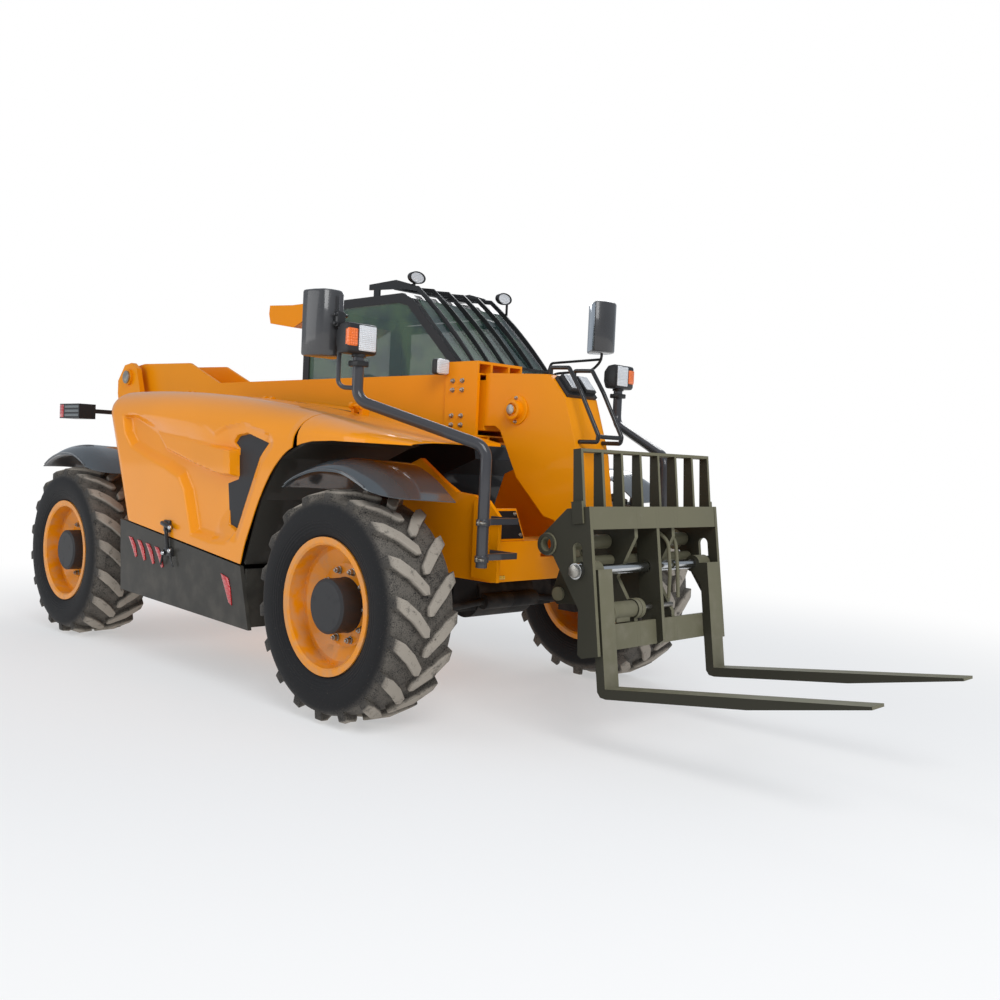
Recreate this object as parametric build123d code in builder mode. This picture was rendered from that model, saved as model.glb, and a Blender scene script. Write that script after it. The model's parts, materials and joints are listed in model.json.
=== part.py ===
"""A telehandler: a wheeled chassis with a side engine pod and cab, and a telescopic boom with forks.

Millimetres. +X is forward, +Y is the machine's left and +Z is up. The ground is Z = 0 and the
origin is on the ground, half way along and half way across the machine. Outlines in side view are
measured from the front axle, (x, z), unless a comment says otherwise.
"""
from build123d import *
from math import atan2, cos, degrees, hypot, pi, radians, sin, sqrt
import os

os.makedirs("parts", exist_ok=True)

# --- overall -------------------------------------------------------------------------------
REAR_END = 4070          # rearmost point, behind the front axle
WHEELBASE = 2910
TRACK = 1900             # between the tyres' centre planes
POD_OUTER = 1120         # half width over the engine pod and the cab side

# --- running fits ---------------------------------------------------------------------------
PIN_FIT = 0.05           # radial clearance of a pin in its bore
SEAT_GAP = 0.3           # between pieces that rest on each other
SIDE_GAP = 12            # between ears that swing past each other
PANEL_GAP = 8            # round a door or lid

# --- wheels ---------------------------------------------------------------------------------
TYRE_R = 560
TYRE_HALF = 185          # half the tread's width, over the lugs
BULGE_HALF = 200         # half the width over the sidewalls
BEAD_R = 302
RIM_WALL = 10
LIP_R = 330
LIP_HALF = 182
DISC_INSET = 130         # from the outer lip to the disc's outer face
DISC_T = 16
HUB_R = 132
HUB_OUT = 118            # how far the hub cap stands out of the disc
SPINDLE_R = 50
SPINDLE_IN_HUB = 80

# --- axles and steering ---------------------------------------------------------------------
KINGPIN_Y = 780          # from the machine's centre plane
KINGPIN_R = 24
STEER_DEG = 35
KNUCKLE_R = 66
KNUCKLE_H = 220
YOKE_T = 36
YOKE_W = 130
AXLE_TUBE_R = 84
DIFF_R = 120
DIFF_W = 420

# --- chassis --------------------------------------------------------------------------------
FRAME_Y = 430            # outer face of each side plate
FRAME_T = 30
FRAME_FRONT = 410
EAR_OUT = 452            # outer face of the ears that carry the lamp tubes
BELLY_Z = 420
FRAME_TOP = 790           # between the axles, where the cab and the pod sit
TOWER_Y = 240            # outer face of each boom tower plate
TOWER_T = 40

TOW_X, TOW_Z = -4005, 760
TOW_R = 16
TOW_T = 22
TOW_SPAN = 110

# --- boom -----------------------------------------------------------------------------------
PIVOT_X, PIVOT_Z = -3880, 1812
BOOM_HALF = 160
BOOM_TOP = 1750
BOOM_H = 340
BOOM_T = 8
LIFT_DEG = 62
LOWER_DEG = 1.5
INNER_HALF = 125
INNER_T = 8
SLIDE_GAP = 27           # from the outer boom's inside to the inner boom, where the pads are
REACH = 2600             # how far the inner boom runs out
INNER_REAR = -3450       # the inner boom's rear end when it is in

# --- lift cylinder --------------------------------------------------------------------------
LIFT_BASE = (-3500, 1000)
LIFT_EYE = (-2100, 1290)
LIFT_BARREL_R = 75
LIFT_ROD_R = 40
LIFT_PIN_R = 30
LIFT_FLOOR = 895
EYE_R = 60
EYE_HALF = 50
EAR_T = 25

# --- tilt cylinder and carriage -------------------------------------------------------------
TILT_BASE = (245, 1554)
CARRIAGE_PIVOT = (720, 840)
TILT_EYE = (627, 641)
DUMP_DEG = 88
CURL_DEG = 12
TILT_BARREL_R = 52
TILT_ROD_R = 28
TILT_EYE_R = 42
HEEL_X, HEEL_Z = 1190, 308   # the inside corner of the forks
REST_TILT = 7.7              # how far the carriage leans back as it parks
CARRIAGE_HALF = 510
FORK_LENGTH = 1210
FORK_T = 45
FORK_W = 100
FORK_OUTER = 482             # outer face of each fork, from the centre plane
SHAFT_R = 24
SHAFT_AT = (-88, 520)        # in the fork frame

FORK_TIP = HEEL_X + FORK_LENGTH * cos(radians(REST_TILT))
FRONT_AXLE_X = (REAR_END - FORK_TIP) / 2
REAR_AXLE = -WHEELBASE
BOOM_BOTTOM = BOOM_TOP - BOOM_H
AXLES = {"front": 0, "rear": REAR_AXLE}
SIDES = {"right": -1, "left": 1}


def side_view(y):
    """The plane at y seen from the right: x forward and z up, from the front axle on the ground."""
    return Plane(origin=(FRONT_AXLE_X, y, 0), x_dir=(1, 0, 0), z_dir=(0, -1, 0))


def fork_view(y):
    """The plane at y in the forks' own frame: along the blade and up the shank from the heel."""
    lean = radians(REST_TILT)
    return Plane(
        origin=(FRONT_AXLE_X + HEEL_X, y, HEEL_Z), x_dir=(cos(lean), 0, sin(lean)), z_dir=(0, -1, 0)
    )


def plan_view(z):
    """The plane at height z, measured from the front axle."""
    return Plane(origin=(FRONT_AXLE_X, 0, z), x_dir=(1, 0, 0), z_dir=(0, 0, 1))


def front_view(x):
    """The plane across the machine at x: sketch x is +Y and sketch y is +Z."""
    return Plane(origin=(FRONT_AXLE_X + x, 0, 0), x_dir=(0, 1, 0), z_dir=(1, 0, 0))


def plate(outline, y_low, y_high, view=side_view, mode=Mode.ADD):
    """A flat plate whose outline lies in a side view, from y_low to y_high."""
    with BuildSketch(view(y_high)) as profile:
        with BuildLine():
            Polyline(*outline, close=True)
        make_face()
    extrude(profile.sketch, amount=y_high - y_low, mode=mode)


def slab(x_low, x_high, y_low, y_high, z_low, z_high, mode=Mode.ADD):
    """A box between named faces."""
    plate([(x_low, z_low), (x_high, z_low), (x_high, z_high), (x_low, z_high)], y_low, y_high, mode=mode)


def bar(centre, radius, y_low, y_high, view=side_view, mode=Mode.ADD):
    """A round bar across the machine."""
    with BuildSketch(view(y_high)) as profile:
        with Locations(centre):
            Circle(radius)
    extrude(profile.sketch, amount=y_high - y_low, mode=mode)


def pairs(low, high):
    """The two spans of y that lie from low to high on each side of the centre plane."""
    return [(-high, -low), (low, high)]


def tube(points, radius, bend, mode=Mode.ADD):
    """A bent round tube. Points are (x, y, z) with x from the front axle."""
    shifted = [(x + FRONT_AXLE_X, y, z) for x, y, z in points]
    with BuildLine() as route:
        if len(points) > 2:
            FilletPolyline(*shifted, radius=bend)
        else:
            Line(*shifted)
    with BuildSketch(Plane(origin=route.line @ 0, z_dir=route.line % 0)) as ring:
        Circle(radius)
    sweep(ring.sketch, path=route.line, mode=mode)


def strut(start, end, radius, y_low=None, y_high=None, mode=Mode.ADD):
    """A straight round rod between two side-view points, on the centre plane."""
    length = hypot(end[0] - start[0], end[1] - start[1])
    along = ((end[0] - start[0]) / length, 0, (end[1] - start[1]) / length)
    foot = Plane(origin=(FRONT_AXLE_X + start[0], 0, start[1]), x_dir=(0, 1, 0), z_dir=along)
    with BuildSketch(foot) as ring:
        Circle(radius)
    extrude(ring.sketch, amount=length, mode=mode)


def between(start, end, distance):
    """The side-view point at a distance from start towards end."""
    length = hypot(end[0] - start[0], end[1] - start[1])
    share = distance / length
    return (start[0] + (end[0] - start[0]) * share, start[1] + (end[1] - start[1]) * share)


def write(piece, name):
    """Label a finished piece and write its file."""
    piece.part.label = name
    export_step(piece.part, f"parts/{name}.step")
    box = piece.part.bounding_box()
    print(f"{name:18s} {box.min.X:8.0f} {box.min.Y:7.0f} {box.min.Z:7.0f}"
          f" {box.max.X:8.0f} {box.max.Y:7.0f} {box.max.Z:7.0f}")


# --- chassis --------------------------------------------------------------------------------
SIDE_PLATE = [
    (FRAME_FRONT, 683), (FRAME_FRONT, 1030), (360, 1075), (258, 1108), (140, 1118), (48, 1163),
    (-146, 1281), (-330, 1210), (-420, 980), (-600, FRAME_TOP), (-2300, FRAME_TOP), (-2500, 1050), (-3350, 1050),
    (-3500, 1200), (-3900, 1200), (-3940, 1120), (-3940, 640), (-3860, 560), (-3560, 560),
    (-3420, 680), (-2420, 680), (-2260, BELLY_Z), (-640, BELLY_Z), (-480, 683),
]
EAR = [(290, 700), (468, 690), (468, 1013), (387, 1088), (290, 1090)]    # carries a lamp tube's arms
TOWER = [
    (-3380, 1040), (-3640, 1560), (-3760, 1880), (-3850, 1925), (-3960, 1910), (-REAR_END, 1790),
    (-REAR_END, 1690), (-3940, 1180), (-3900, 1040),
]
with BuildPart() as frame_rails:
    for y_low, y_high in pairs(FRAME_Y - FRAME_T, FRAME_Y):
        plate(SIDE_PLATE, y_low, y_high)
    for y_low, y_high in pairs(FRAME_Y, EAR_OUT):
        plate(EAR, y_low, y_high)
inside = FRAME_Y - FRAME_T - SEAT_GAP
with BuildPart() as main_frame:           # the members between the rails
    slab(-2260, -640, -inside, inside, BELLY_Z, BELLY_Z + 12)
    slab(-400, FRAME_FRONT, -inside, inside, 683, 700)
    slab(-3400, -2440, -inside, inside, 683, 700)
    slab(FRAME_FRONT - 16, FRAME_FRONT, -inside, inside, 683, 885)
    slab(200, FRAME_FRONT, -inside, inside, 870, 885)
    slab(330, FRAME_FRONT + 1, -72, 72, 800, 886, mode=Mode.SUBTRACT)      # the tilt rod's room
    slab(-700, -684, -inside, inside, BELLY_Z, FRAME_TOP)
    slab(-2276, -2260, -inside, inside, BELLY_Z, FRAME_TOP)
    slab(-3560, -3530, -inside, inside, 640, LIFT_FLOOR)
    slab(-3940, -3924, -inside, inside, 645, 1000)
    slab(-3640, -3360, -inside, inside, LIFT_FLOOR - 16, LIFT_FLOOR)
    # ears for the lift cylinder's base, with their pin
    ear_in = LIFT_BARREL_R + SIDE_GAP
    for y_low, y_high in pairs(ear_in, ear_in + EAR_T):
        plate([(-3630, LIFT_FLOOR), (-3560, 1030), (-3440, 1030), (-3370, LIFT_FLOOR)], y_low, y_high)
        bar(LIFT_BASE, 70, y_low, y_high)
    ear_out = ear_in + EAR_T + 20
    bar(LIFT_BASE, LIFT_PIN_R, -ear_out, ear_out)
    # tow hitch: two ears with an upright pin hole
    for z in (TOW_Z - TOW_SPAN / 2, TOW_Z + TOW_SPAN / 2 - TOW_T):
        slab(-4050, -3940, -60, 60, z, z + TOW_T)
    with BuildSketch(plan_view(TOW_Z - TOW_SPAN)) as tow_bore:
        with Locations((TOW_X, 0)):
            Circle(TOW_R)
    extrude(tow_bore.sketch, amount=2 * TOW_SPAN, mode=Mode.SUBTRACT)

with BuildPart() as boom_pin:
    bar((PIVOT_X, PIVOT_Z), 35, -TOWER_Y - 30, TOWER_Y + 30)
    for y_low, y_high in pairs(TOWER_Y + 20 + SEAT_GAP, TOWER_Y + 32):
        bar((PIVOT_X, PIVOT_Z), 50, y_low, y_high)

with BuildPart() as boom_tower:
    for y_low, y_high in pairs(140, inside):
        slab(-3900, -3400, y_low, y_high, 1022, 1041)
    for y_low, y_high in pairs(TOWER_Y - TOWER_T, TOWER_Y):
        plate(TOWER, y_low, y_high)
        bar((PIVOT_X, PIVOT_Z), 78, y_low, y_high)
    for y_low, y_high in pairs(TOWER_Y, TOWER_Y + 20):
        bar((PIVOT_X, PIVOT_Z), 62, y_low, y_high)
    bar((PIVOT_X, PIVOT_Z), 35 + PIN_FIT, -300, 300, mode=Mode.SUBTRACT)

write(frame_rails, "frame_rails")
write(main_frame, "main_frame")
write(boom_tower, "boom_tower")
write(boom_pin, "boom_pin")

AXLE_Z = TYRE_R
for place, axle_x in AXLES.items():
    centre = (axle_x, AXLE_Z)
    with BuildPart() as axle:
        bar(centre, AXLE_TUBE_R, -KINGPIN_Y + KNUCKLE_R + 22, KINGPIN_Y - KNUCKLE_R - 22)
        bar(centre, DIFF_R, -DIFF_W / 2, DIFF_W / 2)
        slab(axle_x - 95, axle_x + 95, -380, 380, AXLE_Z - 70, 683 - SEAT_GAP)
        for side in SIDES.values():
            reach = sorted((side * 640, side * (KINGPIN_Y + 50)))
            for up in (-1, 1):
                inner_z = AXLE_Z + up * (KNUCKLE_H / 2 + SEAT_GAP)
                outer_z = AXLE_Z + up * (KNUCKLE_H / 2 + YOKE_T)
                slab(axle_x - YOKE_W / 2, axle_x + YOKE_W / 2, *reach, *sorted((inner_z, outer_z)))
            wall = sorted((side * 640, side * (KINGPIN_Y - KNUCKLE_R - 22)))
            z_half = KNUCKLE_H / 2 + YOKE_T
            slab(axle_x - YOKE_W / 2, axle_x + YOKE_W / 2, *wall, AXLE_Z - z_half, AXLE_Z + z_half)
            with BuildSketch(plan_view(AXLE_Z - z_half)) as bore:
                with Locations((axle_x, side * KINGPIN_Y)):
                    Circle(KINGPIN_R + PIN_FIT)
            extrude(bore.sketch, amount=2 * z_half, mode=Mode.SUBTRACT)
    write(axle, f"{place}_axle")

# --- steering knuckles, rims and tyres --------------------------------------------------------
HUB_FACE = TRACK / 2 + LIP_HALF - DISC_INSET     # the disc's outer face, from the centre plane
HUB_END = HUB_FACE + HUB_OUT
SPINDLE_END = HUB_FACE - DISC_T + SPINDLE_IN_HUB
FLANGE_OUT = HUB_FACE - DISC_T - 12


def wheel_plane(axle_x, side):
    """A section through a wheel's axis: u outward from the tyre's centre plane, v up."""
    return Plane(
        origin=(FRONT_AXLE_X + axle_x, side * TRACK / 2, AXLE_Z), x_dir=(0, side, 0), z_dir=(side, 0, 0)
    )


def turned(outline, axle_x, side, mode=Mode.ADD):
    """A body of revolution about a wheel's axis, from its (u, v) half section."""
    with BuildSketch(wheel_plane(axle_x, side)) as section:
        with BuildLine():
            Polyline(*outline, close=True)
        make_face()
    spin = Axis((FRONT_AXLE_X + axle_x, 0, AXLE_Z), (0, 1, 0))
    revolve(section.sketch, axis=spin, mode=mode)


BARREL_R = BEAD_R - SEAT_GAP
DISC_OUT = LIP_HALF - DISC_INSET
DISC_IN = DISC_OUT - DISC_T
BORE_R = SPINDLE_R + PIN_FIT
BORE_END = DISC_IN + SPINDLE_IN_HUB + 5
RIM_SECTION = [                  # u outward, v radius
    (DISC_IN, BORE_R), (BORE_END, BORE_R), (BORE_END, 0), (DISC_OUT + HUB_OUT, 0),
    (DISC_OUT + HUB_OUT, HUB_R - 14), (DISC_OUT + HUB_OUT - 10, HUB_R), (DISC_OUT, HUB_R),
    (DISC_OUT, 200), (DISC_OUT + 34, 268), (DISC_OUT + 34, BARREL_R - RIM_WALL),
    (LIP_HALF - 8, BARREL_R - RIM_WALL), (LIP_HALF, BARREL_R), (LIP_HALF, LIP_R),
    (LIP_HALF - 12, LIP_R), (LIP_HALF - 14, BARREL_R), (-LIP_HALF + 14, BARREL_R),
    (-LIP_HALF + 12, LIP_R), (-LIP_HALF, LIP_R), (-LIP_HALF, BARREL_R),
    (-LIP_HALF + 8, BARREL_R - RIM_WALL), (DISC_IN + 34, BARREL_R - RIM_WALL), (DISC_IN + 34, 276),
    (DISC_IN, 208),
]
BEAD_HALF = LIP_HALF - 14 - SEAT_GAP
TYRE_SECTION = [
    (-BEAD_HALF, BEAD_R), (BEAD_HALF, BEAD_R), (BEAD_HALF, LIP_R + 6), (BULGE_HALF - 8, LIP_R + 40),
    (BULGE_HALF, 430), (BULGE_HALF - 5, 480), (TYRE_HALF, 520), (TYRE_HALF, TYRE_R - 14),
    (TYRE_HALF - 14, TYRE_R), (-TYRE_HALF + 14, TYRE_R), (-TYRE_HALF, TYRE_R - 14),
    (-TYRE_HALF, 520), (-BULGE_HALF + 5, 480), (-BULGE_HALF, 430), (-BULGE_HALF + 8, LIP_R + 40),
    (-BEAD_HALF, LIP_R + 6),
]
for place, axle_x in AXLES.items():
    for hand, side in SIDES.items():
        kingpin_u = KINGPIN_Y - TRACK / 2
        flange_u = FLANGE_OUT - TRACK / 2
        with BuildPart() as knuckle:
            with BuildSketch(plan_view(AXLE_Z - KNUCKLE_H / 2)) as barrel:
                with Locations((axle_x, side * KINGPIN_Y)):
                    Circle(KNUCKLE_R)
            extrude(barrel.sketch, amount=KNUCKLE_H)
            with BuildSketch(plan_view(AXLE_Z - KNUCKLE_H / 2 - YOKE_T)) as pin:
                with Locations((axle_x, side * KINGPIN_Y)):
                    Circle(KINGPIN_R)
            extrude(pin.sketch, amount=KNUCKLE_H + 2 * YOKE_T)
            turned([(kingpin_u, 0), (kingpin_u, 70), (flange_u - 26, 88), (flange_u - 26, 118),
                    (flange_u, 118), (flange_u, SPINDLE_R), (SPINDLE_END - TRACK / 2, SPINDLE_R),
                    (SPINDLE_END - TRACK / 2, 0)], axle_x, side)
        write(knuckle, f"{place}_{hand}_knuckle")
        with BuildPart() as rim:
            turned(RIM_SECTION, axle_x, side)
        write(rim, f"{place}_{hand}_rim")
        with BuildPart() as tyre:
            turned(TYRE_SECTION, axle_x, side)
        write(tyre, f"{place}_{hand}_tyre")

# --- outer boom -----------------------------------------------------------------------------
OUTER_FRONT = -11
FLANGE_REAR = -263
CHEEK = [                        # the raised plates round the pivot
    (-2661, BOOM_TOP - 60), (-2661, BOOM_TOP), (-3083, 1906), (-3785, 1922), (-3930, 1905), (-3985, 1840),
    (-3975, 1740), (-3900, 1640), (-3500, BOOM_BOTTOM), (-3200, BOOM_BOTTOM),
]
with BuildPart() as outer_boom:
    slab(-3560, OUTER_FRONT, -BOOM_HALF, BOOM_HALF, BOOM_BOTTOM, BOOM_TOP)
    for y_low, y_high in pairs(BOOM_HALF - 20, BOOM_HALF):
        plate(CHEEK, y_low, y_high)
    bar((PIVOT_X, PIVOT_Z), 68, -BOOM_HALF, BOOM_HALF)
    inner = BOOM_HALF - BOOM_T
    slab(-3530, OUTER_FRONT, -inner, inner, BOOM_BOTTOM + BOOM_T, BOOM_TOP - BOOM_T, mode=Mode.SUBTRACT)
    # the flange that holds the wear pads at the boom's mouth
    for y_low, y_high in pairs(BOOM_HALF, BOOM_HALF + 12):
        slab(FLANGE_REAR, OUTER_FRONT, y_low, y_high, 1374, 1815)
    slab(FLANGE_REAR + 60, OUTER_FRONT, -BOOM_HALF - 12, BOOM_HALF + 12, 1800, 1815)
    slab(FLANGE_REAR, OUTER_FRONT, -BOOM_HALF, BOOM_HALF, 1374, 1386)
    for y_low, y_high in pairs(60, 75):
        slab(FLANGE_REAR + 60, OUTER_FRONT, y_low, y_high, BOOM_TOP, 1800)
        slab(FLANGE_REAR + 20, OUTER_FRONT, y_low, y_high, 1386, BOOM_BOTTOM)
    bar((PIVOT_X, PIVOT_Z), 35 + PIN_FIT, -BOOM_HALF - 1, BOOM_HALF + 1, mode=Mode.SUBTRACT)
    # wear pads that the inner boom slides on
    pad_in = INNER_HALF + SEAT_GAP
    for y_low, y_high in pairs(pad_in, inner):
        for x_low in (-240, -900):
            slab(x_low, x_low + 120, y_low, y_high, 1500, 1640)
    # ears for the lift cylinder's eye
    for y_low, y_high in pairs(EYE_HALF + SIDE_GAP, EYE_HALF + SIDE_GAP + EAR_T):
        plate([(-2260, BOOM_BOTTOM), (-2160, 1230), (-2040, 1230), (-1940, BOOM_BOTTOM)], y_low, y_high)
    ear_out = EYE_HALF + SIDE_GAP + EAR_T
    for y_low, y_high in pairs(ear_out, ear_out + 14):
        bar(LIFT_EYE, 48, y_low, y_high)
write(outer_boom, "outer_boom")

# --- inner boom and its head ----------------------------------------------------------------
INNER_TOP = BOOM_TOP - BOOM_T - SLIDE_GAP
INNER_BOTTOM = BOOM_BOTTOM + BOOM_T + SLIDE_GAP
HEAD_REAR = OUTER_FRONT + 16
HEAD_T = 16
HEAD = [
    (HEAD_REAR, 1753), (450, 1735), (485, 1714), (571, 1618), (627, 1454), (667, 1331), (700, 1111),
    (752, 925), (790, 870), (792, 825), (760, 778), (700, 764), (650, 790), (590, 872), (575, 950),
    (535, 1000), (463, 1015), (260, 1205), (128, 1448), (90, 1470), (HEAD_REAR, 1470),
]
HEAD_HOLLOW = [
    (60, 1700), (440, 1700), (505, 1655), (555, 1590), (612, 1440), (652, 1320), (684, 1105), (730, 950),
    (850, 850), (700, 700), (520, 700), (380, 960), (240, 1205), (160, 1380), (100, 1420), (60, 1500),
]
INNER_FRONT = HEAD_REAR - SEAT_GAP
END_WALL = 16
PIVOT_BOSS_R = 58
CARRIAGE_PIN_R = 30
TILT_PIN_R = 22
with BuildPart() as inner_boom:
    slab(INNER_REAR, INNER_FRONT, -INNER_HALF, INNER_HALF, INNER_BOTTOM, INNER_TOP)
    inner = INNER_HALF - INNER_T
    floor, ceiling = INNER_BOTTOM + INNER_T, INNER_TOP - INNER_T
    slab(INNER_REAR, INNER_FRONT - END_WALL, -inner, inner, floor, ceiling, mode=Mode.SUBTRACT)
write(inner_boom, "inner_boom")
with BuildPart() as boom_head:
    plate(HEAD, -INNER_HALF, INNER_HALF)
    inner = INNER_HALF - HEAD_T
    plate(HEAD_HOLLOW, -inner, inner, mode=Mode.SUBTRACT)
    bar(CARRIAGE_PIVOT, PIVOT_BOSS_R, -INNER_HALF, INNER_HALF)
    bar(CARRIAGE_PIVOT, CARRIAGE_PIN_R + PIN_FIT, -INNER_HALF - 1, INNER_HALF + 1, mode=Mode.SUBTRACT)
    bar(TILT_BASE, TILT_PIN_R, -INNER_HALF - 50, INNER_HALF + 50)
    for y_low, y_high in pairs(INNER_HALF, INNER_HALF + 35):
        bar(TILT_BASE, 48, y_low, y_high)
write(boom_head, "boom_head")

# work lamps in the head's brow, and the bent tube that guards them
BROW = [(485.3, 1714.3), (571.3, 1618.3), (586, 1632), (500, 1727)]
with BuildPart() as head_lamps:
    plate(BROW, -112, 112)
    for y_low, y_high in pairs(18, 98):
        plate([(503, 1722), (574, 1643), (590, 1658), (519, 1737)], y_low, y_high)
write(head_lamps, "head_lamps")
with BuildPart() as head_guard:
    for side in SIDES.values():
        y = side * 92
        tube([(440, y, 1736.5), (440, y, 1772), (560, y, 1768), (640, y, 1655), (770, y, 1430), (764, y, 1398),
              (649.5, y, 1398)], 11, 14)
    bar((768, 1425), 11, -92, 92)
write(head_guard, "head_guard")

# --- cylinders --------------------------------------------------------------------------------


def cylinder_barrel(base, eye, radius, rod_r, base_eye_r, base_half, pin_r, end):
    """A barrel with an eye on its base pin and a blind bore for the rod, ending at a distance along."""
    tip = between(base, eye, end)
    strut(between(base, eye, base_eye_r * 0.6), tip, radius)
    bar(base, base_eye_r, -base_half, base_half)
    bar(base, pin_r + PIN_FIT, -base_half - 1, base_half + 1, mode=Mode.SUBTRACT)
    strut(between(base, eye, base_eye_r + 40), tip, rod_r + PIN_FIT, mode=Mode.SUBTRACT)


def cylinder_rod(base, eye, rod_r, start, eye_r, eye_half, pin_r, pin_half):
    """A rod from inside the barrel to the far eye, with its pin's ends standing out of the eye."""
    strut(between(base, eye, start), eye, rod_r)
    bar(eye, eye_r, -eye_half, eye_half)
    bar(eye, pin_r, -pin_half, pin_half)


with BuildPart() as lift_barrel:
    cylinder_barrel(LIFT_BASE, LIFT_EYE, LIFT_BARREL_R, LIFT_ROD_R, EYE_R, LIFT_BARREL_R, LIFT_PIN_R, 1290)
write(lift_barrel, "lift_barrel")
with BuildPart() as lift_rod:
    cylinder_rod(LIFT_BASE, LIFT_EYE, LIFT_ROD_R, 130, EYE_R, EYE_HALF, LIFT_PIN_R, EYE_HALF + SIDE_GAP / 2)
write(lift_rod, "lift_rod")
with BuildPart() as tilt_barrel:
    cylinder_barrel(
        TILT_BASE, TILT_EYE, TILT_BARREL_R, TILT_ROD_R, 48, INNER_HALF - HEAD_T - 4, TILT_PIN_R, 560
    )
write(tilt_barrel, "tilt_barrel")
LEVER_IN = INNER_HALF + SIDE_GAP
with BuildPart() as tilt_rod:
    cylinder_rod(TILT_BASE, TILT_EYE, TILT_ROD_R, 410, TILT_EYE_R, INNER_HALF - HEAD_T - SIDE_GAP, TILT_PIN_R, LEVER_IN)
write(tilt_rod, "tilt_rod")

# --- fork carriage (outlines in the fork frame: along the blade, up the shank) -----------------
PLATE_T = 20
LEVER_T = 25
BEAM_TOP = 802
CHEEK_PLATE = [
    (-8, BEAM_TOP), (-136, BEAM_TOP), (-302, 688), (-318, 655), (-300, 610), (-235, 593), (-105, 352),
    (-124, 149), (-102, 132), (-6, 143),
]
to_heel = fork_view(0)


def in_fork_frame(point):
    """A side-view point as the fork frame has it."""
    dx, dz = point[0] - HEEL_X, point[1] - HEEL_Z
    lean = radians(REST_TILT)
    return (dx * cos(lean) + dz * sin(lean), dz * cos(lean) - dx * sin(lean))


PIVOT_IN = in_fork_frame(CARRIAGE_PIVOT)
EYE_IN = in_fork_frame(TILT_EYE)
SLOT_TOP = 620
with BuildPart() as carriage_frame:
    for y_low, y_high in pairs(CARRIAGE_HALF - PLATE_T, CARRIAGE_HALF):
        plate(CHEEK_PLATE, y_low, y_high, view=fork_view)
        bar((-262, 649), 52, y_low - 6, y_high + 12, view=fork_view)
        bar((-262, 649), 30, y_low - 7, y_high + 13, view=fork_view, mode=Mode.SUBTRACT)
        plate([(SHAFT_AT[0] - SHAFT_R - 3, SHAFT_AT[1]), (SHAFT_AT[0] + SHAFT_R + 3, SHAFT_AT[1]),
               (SHAFT_AT[0] + SHAFT_R + 3, SLOT_TOP), (SHAFT_AT[0] - SHAFT_R - 3, SLOT_TOP)],
              y_low - 1, y_high + 1, view=fork_view, mode=Mode.SUBTRACT)
        bar((SHAFT_AT[0], SLOT_TOP), SHAFT_R + 3, y_low - 1, y_high + 1, view=fork_view, mode=Mode.SUBTRACT)
        bar(SHAFT_AT, SHAFT_R + PIN_FIT, y_low - 1, y_high + 1, view=fork_view, mode=Mode.SUBTRACT)
    beam = CARRIAGE_HALF - PLATE_T
    plate([(-30, 700), (-10, 700), (-10, BEAM_TOP), (-30, BEAM_TOP)], -beam, beam, view=fork_view)
    plate([(-120, 782), (-30, 782), (-30, BEAM_TOP), (-120, BEAM_TOP)], -beam, beam, view=fork_view)
    plate([(-80, 155), (-48, 155), (-48, 270), (-80, 270)], -beam, beam, view=fork_view)
    # centre plate, and the two levers that reach back to the boom head
    plate([(-12, 702), (-12, 170), (-46, 150), (-110, 160), (-135, 300), (-135, 700)], -11, 11, view=fork_view)
    for y_low, y_high in pairs(LEVER_IN, LEVER_IN + LEVER_T):
        plate([(-30, 702), (-130, 770), (PIVOT_IN[0] - 20, PIVOT_IN[1] + 66), (PIVOT_IN[0] - 70, PIVOT_IN[1] + 10),
               (EYE_IN[0] - 52, EYE_IN[1]), (EYE_IN[0] - 20, EYE_IN[1] - 52), (EYE_IN[0] + 40, EYE_IN[1] - 50),
               (-150, 330), (-80, 230), (-80, 160), (-60, 160), (-60, 300), (-150, 480), (-30, 660)],
              y_low, y_high, view=fork_view)
        bar(PIVOT_IN, 70, y_low, y_high, view=fork_view)
        bar(EYE_IN, 52, y_low, y_high, view=fork_view)
    for y_low, y_high in pairs(LEVER_IN + LEVER_T, LEVER_IN + LEVER_T + 16):
        bar(PIVOT_IN, 44, y_low, y_high, view=fork_view)
        bar(EYE_IN, 34, y_low, y_high, view=fork_view)
    lever_out = LEVER_IN + LEVER_T
    bar(PIVOT_IN, CARRIAGE_PIN_R, -lever_out, lever_out, view=fork_view)
    bar(SHAFT_AT, SHAFT_R + 4, -lever_out - 1, lever_out + 1, view=fork_view, mode=Mode.SUBTRACT)
write(carriage_frame, "carriage_frame")

UPRIGHTS = 8
UPRIGHT_W = 16
with BuildPart() as load_guard:
    span = CARRIAGE_HALF - UPRIGHT_W / 2
    for number in range(UPRIGHTS):
        y = -span + 2 * span * number / (UPRIGHTS - 1)
        plate([(-100, BEAM_TOP), (-40, BEAM_TOP), (-36, 1058), (-80, 1058)], y - UPRIGHT_W / 2, y + UPRIGHT_W / 2,
              view=fork_view)
    plate([(-80, 1050), (-36, 1050), (-36, 1064), (-80, 1064)], -CARRIAGE_HALF, CARRIAGE_HALF, view=fork_view)
    for y_low, y_high in pairs(CARRIAGE_HALF, CARRIAGE_HALF + 12):
        plate([(-100, 730), (-40, 730), (-40, 830), (-100, 830)], y_low, y_high, view=fork_view)
write(load_guard, "load_guard")

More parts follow.
